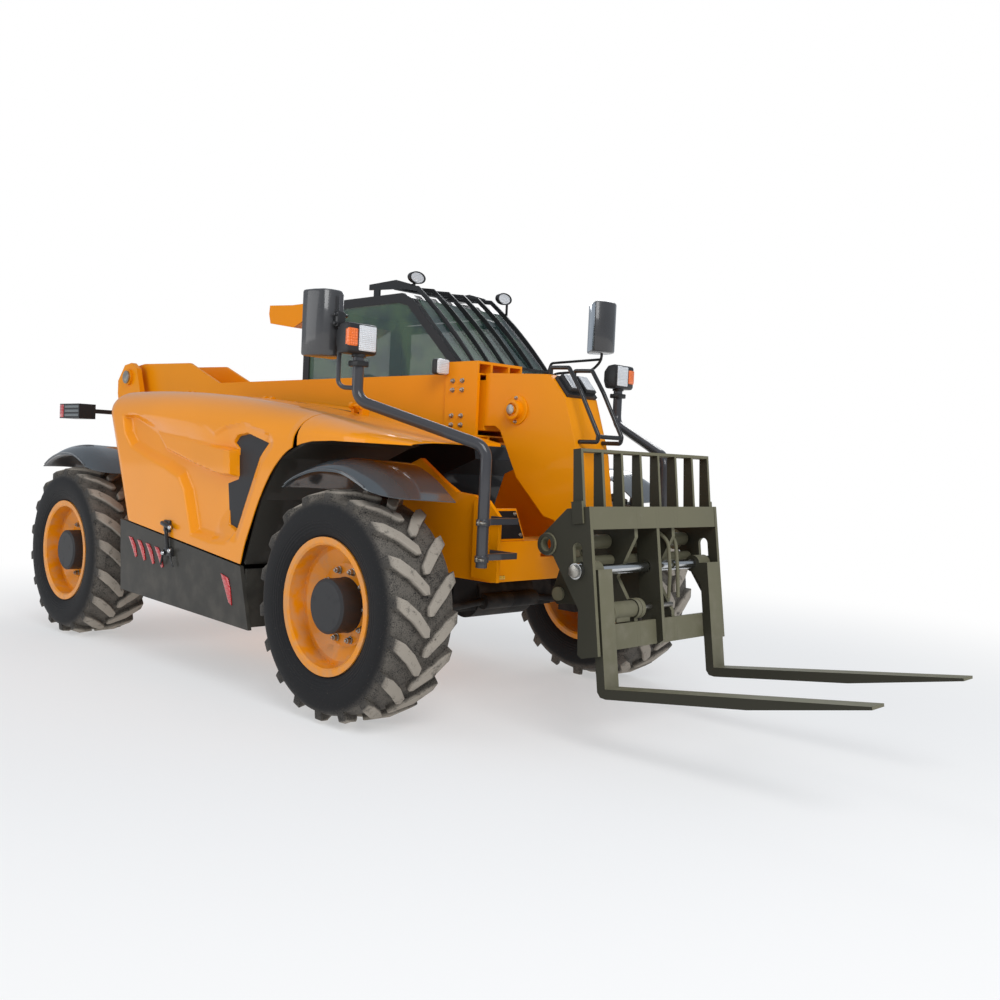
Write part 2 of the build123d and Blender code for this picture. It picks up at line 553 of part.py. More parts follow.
SHANK_TOP = SHAFT_AT[1] + 2
FORK_EYE_R = 42
FORK_SIDE = [
    (-FORK_T, SHANK_TOP), (-FORK_T, -15), (-30, -38), (0, -FORK_T), (700, -FORK_T),
    (FORK_LENGTH, -12), (FORK_LENGTH, 0), (0, 0), (0, SHANK_TOP),
]
with BuildPart() as forks:
    for y_low, y_high in pairs(FORK_OUTER - FORK_W, FORK_OUTER):
        plate(FORK_SIDE, y_low, y_high, view=fork_view)
        plate([(-FORK_T, SHANK_TOP), (SHAFT_AT[0], SHAFT_AT[1] + FORK_EYE_R), (SHAFT_AT[0], SHAFT_AT[1] - FORK_EYE_R),
               (-FORK_T, SHANK_TOP - 110)], y_low, y_high, view=fork_view)
        bar(SHAFT_AT, FORK_EYE_R, y_low, y_high, view=fork_view)
    bar(SHAFT_AT, SHAFT_R + PIN_FIT, -FORK_OUTER - 1, FORK_OUTER + 1, view=fork_view, mode=Mode.SUBTRACT)
write(forks, "forks")
with BuildPart() as fork_shaft:
    bar(SHAFT_AT, SHAFT_R, -CARRIAGE_HALF - 6, CARRIAGE_HALF + 6, view=fork_view)
    for y_low, y_high in pairs(CARRIAGE_HALF + SEAT_GAP, CARRIAGE_HALF + 26):
        bar(SHAFT_AT, 36, y_low, y_high, view=fork_view)
write(fork_shaft, "fork_shaft")

# --- engine pod -------------------------------------------------------------------------------
HINGE_Y = -660
DECK_OUT, DECK_IN = HINGE_Y + 20, -290       # the deck's edges beside the hood and the boom
HINGE_LINE = [(-2400, 1640), (-290, 1535)]   # the hood's hinge, which falls a little forwards
HOOD_FRONT = -290
HINGE_STATIONS = (-2150, -1250, -420)
HINGE_R = 17
HINGE_PIN_R = 8
HINGE_CLEAR = 4
HINGE_LUG = 64
POD_ROUND = 150               # the long round along the pod's shoulder
HOOD_T = 18
POD_TOP = [(-2400, 1618), (-1000, 1568), (430, 1357)]   # start, middle and end of the top's arc
ARCH = [(75, 1344), (-160, 1343), (-242, 1327), (-452, 1248), (-619, 1028), (-752, 681)]
POD_REAR = [(-2124, 834), (-2415, 1403), (-2470, 1540)]


def pod_outline(inset, low):
    """The pod's side outline: its top arc, then the arch and the rear, inset all round but below."""
    start, middle, end = [(x, z - inset) for x, z in POD_TOP]
    with BuildLine() as line:
        ThreePointArc((start[0] + inset, start[1]), middle, (end[0] - inset, end[1]))
        arch = [(end[0] - inset, end[1] - 10)] + [(x, z - low) for x, z in ARCH]
        rear = [(x + inset * 1.1, z - (low if z < 900 else 0)) for x, z in POD_REAR]
        Polyline((end[0] - inset, end[1]), *arch, *rear, (start[0] + inset, start[1]))
    return line


def hinge_z(x):
    """The height of the hood's hinge line at x."""
    (x0, z0), (x1, z1) = HINGE_LINE
    return z0 + (z1 - z0) * (x - x0) / (x1 - x0)


def hinge_barrel(x, low, high, radius, mode=Mode.ADD):
    """A round of the hood's hinge, from low to high along the hinge line from its station."""
    (x0, z0), (x1, z1) = HINGE_LINE
    length = hypot(x1 - x0, z1 - z0)
    along = ((x1 - x0) / length, 0, (z1 - z0) / length)
    foot = Plane(origin=(FRONT_AXLE_X + x, HINGE_Y, hinge_z(x)), x_dir=(0, 1, 0), z_dir=along)
    with BuildSketch(foot.offset(low)) as ring:
        Circle(radius)
    extrude(ring.sketch, amount=high - low, mode=mode)


with BuildPart() as pod_core:
    with BuildSketch(side_view(DECK_OUT + 1)) as inner:
        with BuildLine():
            add(pod_outline(HOOD_T, 60).line)
        make_face()
    extrude(inner.sketch, amount=POD_OUTER - HOOD_T + DECK_OUT + 1)
    ridge = pod_core.edges().filter_by(GeomType.CIRCLE).sort_by(Axis.Y)[0]
    fillet(ridge, radius=POD_ROUND - HOOD_T)

with BuildPart() as pod_skin:             # the pod's skin, open below and towards the boom
    with BuildSketch(side_view(DECK_OUT - SEAT_GAP)) as outer:
        with BuildLine():
            add(pod_outline(0, 0).line)
        make_face()
    extrude(outer.sketch, amount=POD_OUTER + DECK_OUT - SEAT_GAP)
    crown = pod_skin.edges().filter_by(GeomType.CIRCLE).sort_by(Axis.Y)[0]
    fillet(crown, radius=POD_ROUND)
    add(pod_core.part, mode=Mode.SUBTRACT)

with BuildPart() as hood:
    add(pod_skin.part)
    slab(-2600, HOOD_FRONT, -POD_OUTER, HINGE_Y - HINGE_CLEAR, 500, 1800, mode=Mode.INTERSECT)
    for x in HINGE_STATIONS:
        z = hinge_z(x)
        slab(x - 52, x + 52, HINGE_Y - 24, HINGE_Y, z - 70, z + 30, mode=Mode.SUBTRACT)
        slab(x - 20, x + 20, HINGE_Y - 40, HINGE_Y - HINGE_CLEAR, z - HINGE_LUG, z - 2)
        hinge_barrel(x, -20, 20, HINGE_R)
        hinge_barrel(x, -21, 21, HINGE_PIN_R + PIN_FIT, mode=Mode.SUBTRACT)
write(hood, "hood")
with BuildPart() as front_wing:
    add(pod_skin.part)
    slab(HOOD_FRONT + PANEL_GAP, 600, -POD_OUTER, DECK_OUT, 500, 1800, mode=Mode.INTERSECT)
write(front_wing, "front_wing")

DECK_TOP = [(-2380, 1612), (-1000, 1562), (300, 1372)]


def arched_strip(points, thickness, y_low, y_high):
    """A strip whose top follows an arc through three side-view points."""
    start, middle, end = points
    with BuildSketch(side_view(y_high)) as profile:
        with BuildLine():
            ThreePointArc(start, middle, end)
            Line(end, (end[0], end[1] - thickness))
            ThreePointArc(
                (end[0], end[1] - thickness), (middle[0], middle[1] - thickness), (start[0], start[1] - thickness)
            )
            Line((start[0], start[1] - thickness), start)
        make_face()
    extrude(profile.sketch, amount=y_high - y_low)


with BuildPart() as hood_deck:
    arched_strip(DECK_TOP, 16, DECK_OUT, DECK_IN)
    for x, top in ((-2280, 1605), (-780, 1530)):
        slab(x, x + 16, DECK_OUT, DECK_IN, FRAME_TOP + SEAT_GAP, top)
    for x in HINGE_STATIONS:
        hinge_barrel(x, -48, 48, HINGE_PIN_R)
        for low, high in ((-48, -22), (22, 48)):
            hinge_barrel(x, low, high, HINGE_R)
            slab(x + low, x + high, HINGE_Y + HINGE_CLEAR, DECK_OUT + 30, hinge_z(x) - HINGE_LUG, hinge_z(x) - 4)
write(hood_deck, "hood_deck")

LINER_T = 10
LINER = ARCH[1:]
with BuildPart() as arch_liner:
    outside = [(x - 12, z + 10) for x, z in LINER]
    plate(LINER + outside[::-1], -POD_OUTER + 30, -FRAME_Y - SEAT_GAP)
write(arch_liner, "arch_liner")

SKIRT = [(-656, 348), (-754, 681 - PANEL_GAP), (-2124, 834 - PANEL_GAP), (-2094, 396)]
with BuildPart() as side_skirt:
    plate(SKIRT, -POD_OUTER, -POD_OUTER + 22)
    plate([(-720, 351), (-720, 371), (-2092, 416), (-2094, 396)], -POD_OUTER + 22, -FRAME_Y - SEAT_GAP)
    slab(-740, -720, -POD_OUTER + 22, -FRAME_Y - SEAT_GAP, 352, 660)
    slab(-2110, -2090, -POD_OUTER + 22, -FRAME_Y - SEAT_GAP, 400, 800)
write(side_skirt, "side_skirt")

POD_ROOM = 120           # between the pod's skin and the engine inside it
with BuildPart() as engine_block:
    slab(-2080, -900, POD_ROOM - POD_OUTER, -FRAME_Y - SEAT_GAP, 470, 1430)
write(engine_block, "engine_block")

# --- cab --------------------------------------------------------------------------------------
CAB_IN, CAB_OUT = 250, 1085
CAB_WALL = 45
DOOR_T = 38
DOOR_RIM = 60
DOOR_HINGE = (-2110, CAB_OUT + 18)      # x and y of the upright hinge line
DOOR_HINGE_Z = (1050, 2050)
DOOR_KNUCKLE_R = 16
DOOR_PIN_R = 9
CAB_FLOOR = FRAME_TOP + SEAT_GAP
CAB_SIDE = [
    (-700, CAB_FLOOR), (-700, 1190), (-430, 1290), (-470, 1480), (-640, 1890), (-1070, 2290), (-1170, 2330),
    (-2130, 2330), (-2231, 2290), (-2224, CAB_FLOOR),
]
WINDOW = [(-535, 1500), (-700, 1870), (-1110, 2245), (-1200, 2270), (-2110, 2270), (-2160, 2240), (-2160, 1360),
          (-1000, 1360), (-500, 1400)]
DOOR_HOLE = [
    (-790, 850), (-790, 1230), (-510, 1335), (-535, 1500), (-700, 1870), (-1110, 2245), (-1200, 2270),
    (-2070, 2270), (-2100, 2240), (-2100, 850),
]
cab_low, cab_high = CAB_IN + CAB_WALL, CAB_OUT - CAB_WALL


def upright(centre, radius, z_low, z_high, mode=Mode.ADD):
    """An upright round bar."""
    with BuildSketch(plan_view(z_low)) as ring:
        with Locations(centre):
            Circle(radius)
    extrude(ring.sketch, amount=z_high - z_low, mode=mode)


with BuildPart() as cab_frame:
    plate(CAB_SIDE, CAB_IN, CAB_IN + CAB_WALL)
    plate(CAB_SIDE, CAB_OUT - CAB_WALL, CAB_OUT)
    plate(WINDOW, CAB_IN - 1, CAB_IN + CAB_WALL + 1, mode=Mode.SUBTRACT)
    plate(DOOR_HOLE, CAB_OUT - CAB_WALL - 1, CAB_OUT + 1, mode=Mode.SUBTRACT)
    slab(-2224, -700, cab_low, cab_high, CAB_FLOOR, CAB_FLOOR + 30)         # floor
    slab(-716, -700, cab_low, cab_high, CAB_FLOOR, 1205)                    # toe board
    plate([(-700, 1190), (-430, 1290), (-437, 1312), (-716, 1210)], cab_low, cab_high)
    plate([(-430, 1290), (-446, 1370), (-466, 1366), (-452, 1290)], cab_low, cab_high)
    plate([(-1070, 2290), (-1170, 2330), (-1170, 2300), (-1088, 2291)], cab_low, cab_high)
    plate([(-2130, 2330), (-2231, 2290), (-2229, 2240), (-2200, 2240), (-2130, 2300)], cab_low, cab_high)
    slab(-2224, -2200, cab_low, cab_high, CAB_FLOOR, 1560)
    for z in DOOR_HINGE_Z:
        upright(DOOR_HINGE, DOOR_PIN_R, z - 45, z + 45)
        for low, high in ((z - 45, z - 22), (z + 22, z + 45)):
            upright(DOOR_HINGE, DOOR_KNUCKLE_R, low, high)
            slab(DOOR_HINGE[0] - 40, DOOR_HINGE[0], CAB_OUT, DOOR_HINGE[1] + 8, low, high)
write(cab_frame, "cab_frame")

GLASS_T = 6
with BuildPart() as cab_glass:
    plate(WINDOW, CAB_IN + 8, CAB_IN + 8 + GLASS_T)
    plate([(-446, 1370), (-470, 1480), (-640, 1890), (-1070, 2290), (-1078, 2286), (-648, 1884), (-478, 1476),
           (-455, 1369)], cab_low, cab_high)
    plate([(-2224, 1560), (-2229, 2240), (-2221, 2240), (-2216, 1560)], cab_low, cab_high)
write(cab_glass, "cab_glass")

with BuildPart() as cab_roof:
    slab(-2130, -1170, cab_low, cab_high, 2300, 2330)
write(cab_roof, "cab_roof")
CAP_TOP = 2345
with BuildPart() as roof_cap:
    plate([(-2231.3, CAP_TOP), (-2420, CAP_TOP), (-2710, CAP_TOP + 18), (-2718, CAP_TOP - 45),
           (-2695, CAP_TOP - 116), (-2395, CAP_TOP - 163), (-2231.3, CAP_TOP - 105)], CAB_IN + 20, CAB_OUT - 40)
write(roof_cap, "roof_cap")

BARS = 6
BAR_T = 10
GUARD_IN, GUARD_OUT = 330, 1010
with BuildPart() as roof_guard:
    for number in range(BARS):
        y = GUARD_IN + (GUARD_OUT - GUARD_IN - BAR_T) * number / (BARS - 1)
        with BuildSketch(side_view(y + BAR_T)) as profile:
            with BuildLine():
                Line((-1330, 2412), (-1110, 2382))
                ThreePointArc((-1110, 2382), (-850, 2172), (-560, 1880))
                Line((-560, 1880), (-590, 1880))
                ThreePointArc((-590, 1880), (-877, 2155), (-1120, 2354))
                Line((-1120, 2354), (-1330, 2384))
                Line((-1330, 2384), (-1330, 2412))
            make_face()
        extrude(profile.sketch, amount=BAR_T)
    slab(-1350, -1320, GUARD_IN, GUARD_OUT, 2376, 2412)
    slab(-590, -560, GUARD_IN, GUARD_OUT, 1868, 1884)
    for y_low in (GUARD_IN, GUARD_OUT - 12):
        plate([(-1610, 2395), (-1610, 2432), (-1330, 2440), (-1180, 2400), (-1180, 2370), (-1330, 2380)],
              y_low, y_low + 12)
        slab(-1560, -1500, y_low, y_low + 12, 2330 + SEAT_GAP, 2400)
        plate([(-560, 1884), (-590, 1884), (-596, 1830), (-580, 1790), (-560, 1800)], y_low, y_low + 12)
    for y_low, y_high in ((CAB_IN, GUARD_IN + 12), (GUARD_OUT - 12, CAB_OUT)):
        plate([(-600.6, 1796), (-613, 1826), (-580, 1826), (-580, 1796)], y_low, y_high)
write(roof_guard, "roof_guard")

with BuildPart() as seat:
    slab(-1800, -1330, 420, 910, 1180, 1290)
    plate([(-1800, 1290), (-1690, 1290), (-1790, 1900), (-1880, 1900)], 440, 890)
    slab(-1740, -1400, 500, 830, CAB_FLOOR + 30, 1180)
write(seat, "seat")
with BuildPart() as console:
    plate([(-715, 1210.7), (-560, 1267.4), (-620, 1420), (-760, 1390)], 430, 900)
    tube([(-740, 665, 1350), (-930, 665, 1480)], 28, 1)
    with BuildSketch(Plane(origin=(FRONT_AXLE_X - 930, 665, 1480), z_dir=(-0.82, 0, 0.57))) as wheel:
        Circle(190)
        Circle(165, mode=Mode.SUBTRACT)
        Rectangle(350, 30)
    extrude(wheel.sketch, amount=24)
write(console, "console")

with BuildPart() as side_tank:
    plate([(-760, 430), (-2150, 430), (-2150, FRAME_TOP - 20), (-760, FRAME_TOP - 20)], FRAME_Y + SEAT_GAP, CAB_OUT - 40)
    slab(-1100, -780, CAB_OUT - 240, CAB_OUT - 39, 600, FRAME_TOP, mode=Mode.SUBTRACT)
    slab(-1100, -780, CAB_OUT - 140, CAB_OUT - 39, 480, 580, mode=Mode.SUBTRACT)
write(side_tank, "side_tank")

# --- fenders ------------------------------------------------------------------------------------
FENDER_T = 8


def fender(axle_x, side):
    """A mudguard: a crowned strip over the tyre, with a drooping outer lip."""
    top = [(-399, 1112), (-250, 1215), (-60, 1268), (53, 1272), (250, 1215), (430, 1095)]
    lip = [(-399, 1105), (-220, 1170), (-38, 1196), (60, 1196), (170, 1170), (272, 1122)]
    crest_in, crest_out, outer = 700, 1000, 1125
    for (x0, z0), (x1, z1), (u0, w0), (u1, w1) in zip(top, top[1:], lip, lip[1:]):
        with BuildSketch(side_view(0)) as profile:
            with BuildLine():
                Polyline((axle_x + x0, z0), (axle_x + x1, z1), (axle_x + x1, z1 - FENDER_T),
                         (axle_x + x0, z0 - FENDER_T), close=True)
            make_face()
        low, high = sorted((side * crest_in, side * crest_out))
        extrude(Pos(0, high, 0) * profile.sketch, amount=high - low)
        with BuildSketch(side_view(side * crest_out)) as near:
            with BuildLine():
                Polyline((axle_x + x0, z0), (axle_x + x1, z1), (axle_x + x1, z1 - FENDER_T),
                         (axle_x + x0, z0 - FENDER_T), close=True)
            make_face()
        with BuildSketch(side_view(side * outer)) as far:
            with BuildLine():
                Polyline((axle_x + u0, w0), (axle_x + u1, w1), (axle_x + u1, w1 - FENDER_T),
                         (axle_x + u0, w0 - FENDER_T), close=True)
            make_face()
        loft([near.sketch, far.sketch])


for place, axle_x in AXLES.items():
    with BuildPart() as fenders:
        for side in SIDES.values():
            fender(axle_x, side)
            low, high = sorted((side * (FRAME_Y + SEAT_GAP), side * 800))
            slab(axle_x - 20, axle_x + 60, low, high, 1200, 1262)
            low, high = sorted((side * (FRAME_Y + SEAT_GAP), side * (FRAME_Y + 12)))
            foot_z = 1060 if place == "front" else 990
            slab(axle_x - 20, axle_x + 60, low, high, foot_z, 1262)
    write(fenders, f"{place}_fenders")

# --- lamps, mirrors and beacon -------------------------------------------------------------------
TUBE_X, TUBE_Y, TUBE_R = 610, 700, 27    # the lamp tubes stand clear of the steered tyres
LAMP_FOOT = 1755
with BuildPart() as lamp_tubes:
    for side in SIDES.values():
        route = [(TUBE_X, TUBE_Y, 790), (TUBE_X, TUBE_Y, 1345), (24, 1000, 1543), (24, 1000, LAMP_FOOT)]
        tube([(x, side * y, z) for x, y, z in route], TUBE_R, 75)
        for z in (820, 985):                 # two arms from the frame's ear to the tube
            low, high = sorted((side * (EAR_OUT + SEAT_GAP), side * (EAR_OUT + 16)))
            slab(430, TUBE_X - 10, low, high, z, z + 30)
            low, high = sorted((side * (EAR_OUT + SEAT_GAP), side * TUBE_Y))
            slab(TUBE_X - 26, TUBE_X - 10, low, high, z, z + 30)
    # the right mirror's arm and its clamp
    tube([(24, -1000, 1600), (-50, -1060, 1600), (-50, -1060, 2040)], 11, 40)
    slab(-72 + SEAT_GAP, -50, -1080, -1046, 1890, 1950)
write(lamp_tubes, "lamp_tubes")
MIRROR = [                    # a mirror's shell in plan: x, then distance in from its outer edge
    (-225, 0), (-225, 200), (-150, 190), (-92, 150), (-72, 118), (-72, 78), (-92, 30), (-150, 8),
]
MIRROR_OUT = 1163
LEFT_BACK = 70                # the left mirror stands this much further back, on a hoop off the cab
with BuildPart() as mirrors:
    for side, back, z_low, z_high in ((-1, 0, 1745, 2065), (1, LEFT_BACK, 1990, 2310)):
        with BuildSketch(plan_view(z_low)) as shell:
            with BuildLine():
                Polyline(*[(x - back, side * (MIRROR_OUT - inward)) for x, inward in MIRROR], close=True)
            make_face()
        extrude(shell.sketch, amount=z_high - z_low)
    slab(-678, -634, CAB_OUT + SEAT_GAP, CAB_OUT + 14, 1828, 1868)
    tube([(-656, CAB_OUT + 12, 1858), (-640, 1120, 1950), (-215, 1120, 1960)], 9, 20)
    tube([(-656, CAB_OUT + 12, 1838), (-600, 1120, 1880), (-290, 1120, 1890), (-215, 1120, 1950), (-215, 1120, 2100)], 9, 20)
write(mirrors, "mirrors")
with BuildPart() as lamps:
    for side in SIDES.values():
        plate([(-35, LAMP_FOOT + 40), (-20, LAMP_FOOT + SEAT_GAP), (60, LAMP_FOOT + SEAT_GAP), (72, LAMP_FOOT + 15),
               (72, 1893), (50, 1905), (-5, 1898), (-35, 1860)], side * 1010 - 88, side * 1010 + 88)
    for x, y, z in ((-1180, 350, 2440), (-990, 965, 2376)):        # roof lamps
        with BuildSketch(front_view(x)) as round_lamp:
            with Locations((y, z)):
                Ellipse(68, 40)
        extrude(round_lamp.sketch, amount=45)
    slab(-1205, -1160, GUARD_IN + 12 + SEAT_GAP, GUARD_IN + 28, 2385, 2404)      # and their stems
    slab(-985, -965, GUARD_OUT + SEAT_GAP, GUARD_OUT + 12, 2265, 2376)
    slab(-300, -230, -252, -172, 1740, 1830)
write(lamps, "lamps")
with BuildPart() as beacon:
    with BuildSketch(plan_view(CAP_TOP + SEAT_GAP)) as foot:
        with Locations((-2320, 600)):
            Circle(60)
    extrude(foot.sketch, amount=30)
    with BuildSketch(plan_view(CAP_TOP + 30)) as dome:
        with Locations((-2320, 600)):
            Circle(50)
    extrude(dome.sketch, amount=110)
write(beacon, "beacon")
with BuildPart() as rear_lamps:
    for side in SIDES.values():
        slab(-3615, -3290, side * 830 - 60, side * 830 + 60, 1451, 1556)
        low, high = sorted((side * (FRAME_Y - 29), side * 770))
        slab(-3560, -3500, low, high, 1500, 1530)
        slab(-3560, -3500, *sorted((side * (FRAME_Y - 29), side * (FRAME_Y - 1))), 1200 + SEAT_GAP, 1530)
write(rear_lamps, "rear_lamps")

# --- door ----------------------------------------------------------------------------------------
with BuildPart() as door_frame:
    with BuildSketch(side_view(CAB_OUT - 4)) as leaf:
        with BuildLine():
            Polyline(*DOOR_HOLE, close=True)
        make_face()
        offset(amount=-PANEL_GAP, mode=Mode.REPLACE)
        offset(amount=-DOOR_RIM, mode=Mode.SUBTRACT)
    extrude(amount=DOOR_T)
    for z in DOOR_HINGE_Z:
        slab(DOOR_HINGE[0], DOOR_HINGE[0] + 60, DOOR_HINGE[1] - 5, DOOR_HINGE[1] + 5, z - 20, z + 20)
        slab(DOOR_HINGE[0] + 34, DOOR_HINGE[0] + 60, CAB_OUT - 4, DOOR_HINGE[1] + 5, z - 20, z + 20)
        upright(DOOR_HINGE, DOOR_KNUCKLE_R, z - 20, z + 20)
        upright(DOOR_HINGE, DOOR_PIN_R + PIN_FIT, z - 21, z + 21, mode=Mode.SUBTRACT)
write(door_frame, "door_frame")
with BuildPart() as door_glass:
    with BuildSketch(side_view(CAB_OUT - 18)) as pane:
        with BuildLine():
            Polyline(*DOOR_HOLE, close=True)
        make_face()
        offset(amount=-PANEL_GAP - DOOR_RIM, mode=Mode.REPLACE)
    extrude(amount=GLASS_T)
write(door_glass, "door_glass")
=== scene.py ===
"""Dresses a telehandler's frame with its finishes and its shaped pieces, laid out as an add-on.

Metres, in the frame's own axes: +X forward, +Y the machine's left, +Z up. Tables of places are
measured from the front axle on the ground, as (x, y, z) or as side-view points (x, z).
"""
import json
import math

import bpy
from bpy.props import FloatProperty, FloatVectorProperty, IntProperty, PointerProperty
from mathutils import Matrix, Vector


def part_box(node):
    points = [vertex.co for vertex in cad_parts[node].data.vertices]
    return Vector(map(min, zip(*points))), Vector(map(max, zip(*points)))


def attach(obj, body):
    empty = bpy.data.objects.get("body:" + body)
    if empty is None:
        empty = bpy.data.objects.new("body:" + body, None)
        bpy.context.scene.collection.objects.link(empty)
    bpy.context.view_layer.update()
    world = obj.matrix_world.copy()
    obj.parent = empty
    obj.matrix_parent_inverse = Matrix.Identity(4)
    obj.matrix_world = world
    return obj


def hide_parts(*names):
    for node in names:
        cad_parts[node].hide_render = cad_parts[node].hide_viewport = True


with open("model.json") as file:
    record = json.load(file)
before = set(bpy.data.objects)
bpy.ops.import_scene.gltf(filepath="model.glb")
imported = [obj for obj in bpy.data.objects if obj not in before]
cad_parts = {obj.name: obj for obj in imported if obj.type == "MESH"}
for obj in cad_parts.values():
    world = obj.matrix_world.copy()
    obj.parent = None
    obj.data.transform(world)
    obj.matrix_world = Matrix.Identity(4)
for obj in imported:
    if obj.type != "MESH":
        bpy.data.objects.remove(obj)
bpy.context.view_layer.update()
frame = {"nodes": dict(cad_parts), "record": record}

bl_info = {
    "name": "Telehandler",
    "version": (1, 0, 0),
    "blender": (4, 5, 0),
    "location": "View3D > Sidebar > Telehandler",
    "description": "Dresses the telehandler's frame with finishes and shaped pieces",
    "category": "Object",
}

FRONT_AXLE, REAR_AXLE = [
    sum(corner[0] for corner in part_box(name)) / 2 for name in ("front_axle", "rear_axle")
]
AXLE_Z = sum(corner[2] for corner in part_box("front_right_tyre")) / 2
TYRE_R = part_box("front_right_tyre")[1][2] - AXLE_Z
TRACK_Y = -sum(corner[1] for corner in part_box("front_right_tyre")) / 2
SIDES = {"right": -1, "left": 1}
AXLES = {"front": FRONT_AXLE, "rear": REAR_AXLE}
BODY_OF = {node: body for body, nodes in frame["record"]["behaviour"]["bodies"].items() for node in nodes}


# --- sizes and colours ------------------------------------------------------------------------
def colour(name, description, value):
    """A colour that a user would change."""
    return FloatVectorProperty(
        name=name, description=description, default=value, size=3, min=0, max=1, subtype="COLOR"
    )


def length(name, description, value):
    """A size that a user would change."""
    return FloatProperty(name=name, description=description, default=value, unit="LENGTH")


class TelehandlerColours(bpy.types.PropertyGroup):
    enamel: colour("Enamel", "Body and boom paint", (0.87, 0.295, 0.001))
    graphite: colour("Graphite", "Skirt, arch liner and side tank", (0.04, 0.038, 0.033))
    olive: colour("Olive", "Carriage and forks", (0.16, 0.15, 0.095))
    rubber: colour("Rubber", "Tyres and seals", (0.009, 0.009, 0.01))
    dust: colour("Dust", "Dry dust on the treads and low parts", (0.36, 0.32, 0.27))
    plastic: colour("Plastic", "Lamp housings, roof and chassis", (0.02, 0.02, 0.021))
    gloss: colour("Mudguard", "Gloss mudguards", (0.055, 0.064, 0.072))
    glass: colour("Glass", "Cab glass", (0.05, 0.1, 0.09))
    amber: colour("Amber", "Beacon and indicators", (0.9, 0.16, 0.005))
    red: colour("Red", "Reflectors and tail lamps", (0.56, 0.01, 0.014))
    floor: colour("Floor", "Studio floor", (0.86, 0.86, 0.86))


class TelehandlerSizes(bpy.types.PropertyGroup):
    lugs: IntProperty(name="Lugs", description="Lugs on each half of a tread", default=18, min=8)
    lug_height: length("Lug height", "How far a lug stands out of the casing", 0.042)
    panel: length("Panel", "Thickness of the skins of the hood and the wing", 0.006)
    shoulder: length("Shoulder", "Height of the hood's long round", 0.17)
    lamp_power: FloatProperty(name="Lamp power", description="Key lamp", default=340, unit="POWER")


# --- shader maths -----------------------------------------------------------------------------
class Value:
    """A value in a finish. Arithmetic on it adds Math nodes."""

    def __init__(self, board, socket):
        self.board, self.socket = board, socket

    def maths(self, operation, first, second=0.0):
        return self.board.node("ShaderNodeMath", {"operation": operation}, {0: first, 1: second})

    def __add__(self, other):
        return self.maths("ADD", self, other)

    def __sub__(self, other):
        return self.maths("SUBTRACT", self, other)

    def __rsub__(self, other):
        return self.maths("SUBTRACT", other, self)

    def __mul__(self, other):
        return self.maths("MULTIPLY", self, other)

    def __abs__(self):
        return self.maths("ABSOLUTE", self)

    def sine(self):
        return self.maths("SINE", self)

    def root(self):
        return self.maths("SQRT", self)

    def clamp(self):
        return self.board.node("ShaderNodeClamp", {}, {"Value": self})

    __radd__, __rmul__ = __add__, __mul__


class Board:
    """A node tree, where any node comes from one method."""

    def __init__(self, tree):
        self.tree = tree
        tree.nodes.clear()

    def node(self, kind, settings=None, inputs=None, output=0):
        """Any node: its settings first, then the values or links of its sockets."""
        made = self.tree.nodes.new(kind)
        for key, value in (settings or {}).items():
            setattr(made, key, value)
        for key, value in (inputs or {}).items():
            if isinstance(value, Value):
                self.tree.links.new(value.socket, made.inputs[key])
            else:
                made.inputs[key].default_value = value
        return Value(self, made.outputs[output]) if made.outputs else None

    def mask(self, value, low, high):
        """0 below low and 1 above high."""
        return self.node(
            "ShaderNodeMapRange", {"interpolation_type": "SMOOTHSTEP"},
            {"Value": value, "From Min": low, "From Max": high},
        )


class Finish(Board):
    """The nodes of one finish, with the place of each point of the piece to work from."""

    def __init__(self, name):
        self.material = bpy.data.materials.new(name)
        self.material.use_nodes = True
        super().__init__(self.material.node_tree)
        self.place = self.node("ShaderNodeTexCoord", output="Object")
        split = self.node("ShaderNodeSeparateXYZ", {}, {0: self.place}).socket.node
        self.x, self.y, self.z = [Value(self, socket) for socket in split.outputs]

    def reach(self, axle_x):
        """The distance from a wheel's axle."""
        across, up = self.x - axle_x, self.z - AXLE_Z
        return (across * across + up * up).root()

    def noise(self, scale, detail=3.0, stretch=None):
        vector = self.place
        if stretch:
            vector = self.node("ShaderNodeMapping", {}, {"Vector": self.place, "Scale": stretch})
        return self.node("ShaderNodeTexNoise", {}, {"Vector": vector, "Scale": scale, "Detail": detail})

    def blend(self, factor, first, second):
        inputs = {0: factor}
        for key, tone in ((6, first), (7, second)):
            inputs[key] = tone if isinstance(tone, Value) else (*tone, 1.0)
        return self.node("ShaderNodeMix", {"data_type": "RGBA"}, inputs, output=2)

    def bump(self, height, distance, soft=0.0):
        """A normal with fine relief, over edges rounded by a small radius."""
        inputs = {"Height": height, "Distance": distance, "Strength": 1.0}
        if soft:
            inputs["Normal"] = self.node("ShaderNodeBevel", {"samples": 4}, {"Radius": soft})
        return self.node("ShaderNodeBump", {}, inputs)

    def close(self, shader):
        """Ends the finish with a shader."""
        self.node("ShaderNodeOutputMaterial", {}, {"Surface": shader})
        return self.material

    def surface(self, **sockets):
        """Ends the finish with a Principled surface: sockets by name, with spaces as underscores."""
        inputs = {key.replace("_", " "): value for key, value in sockets.items()}
        return self.close(self.node("ShaderNodeBsdfPrincipled", {}, inputs))


def darker(tone, share):
    """A colour times a share."""
    return tuple(channel * share for channel in tone)


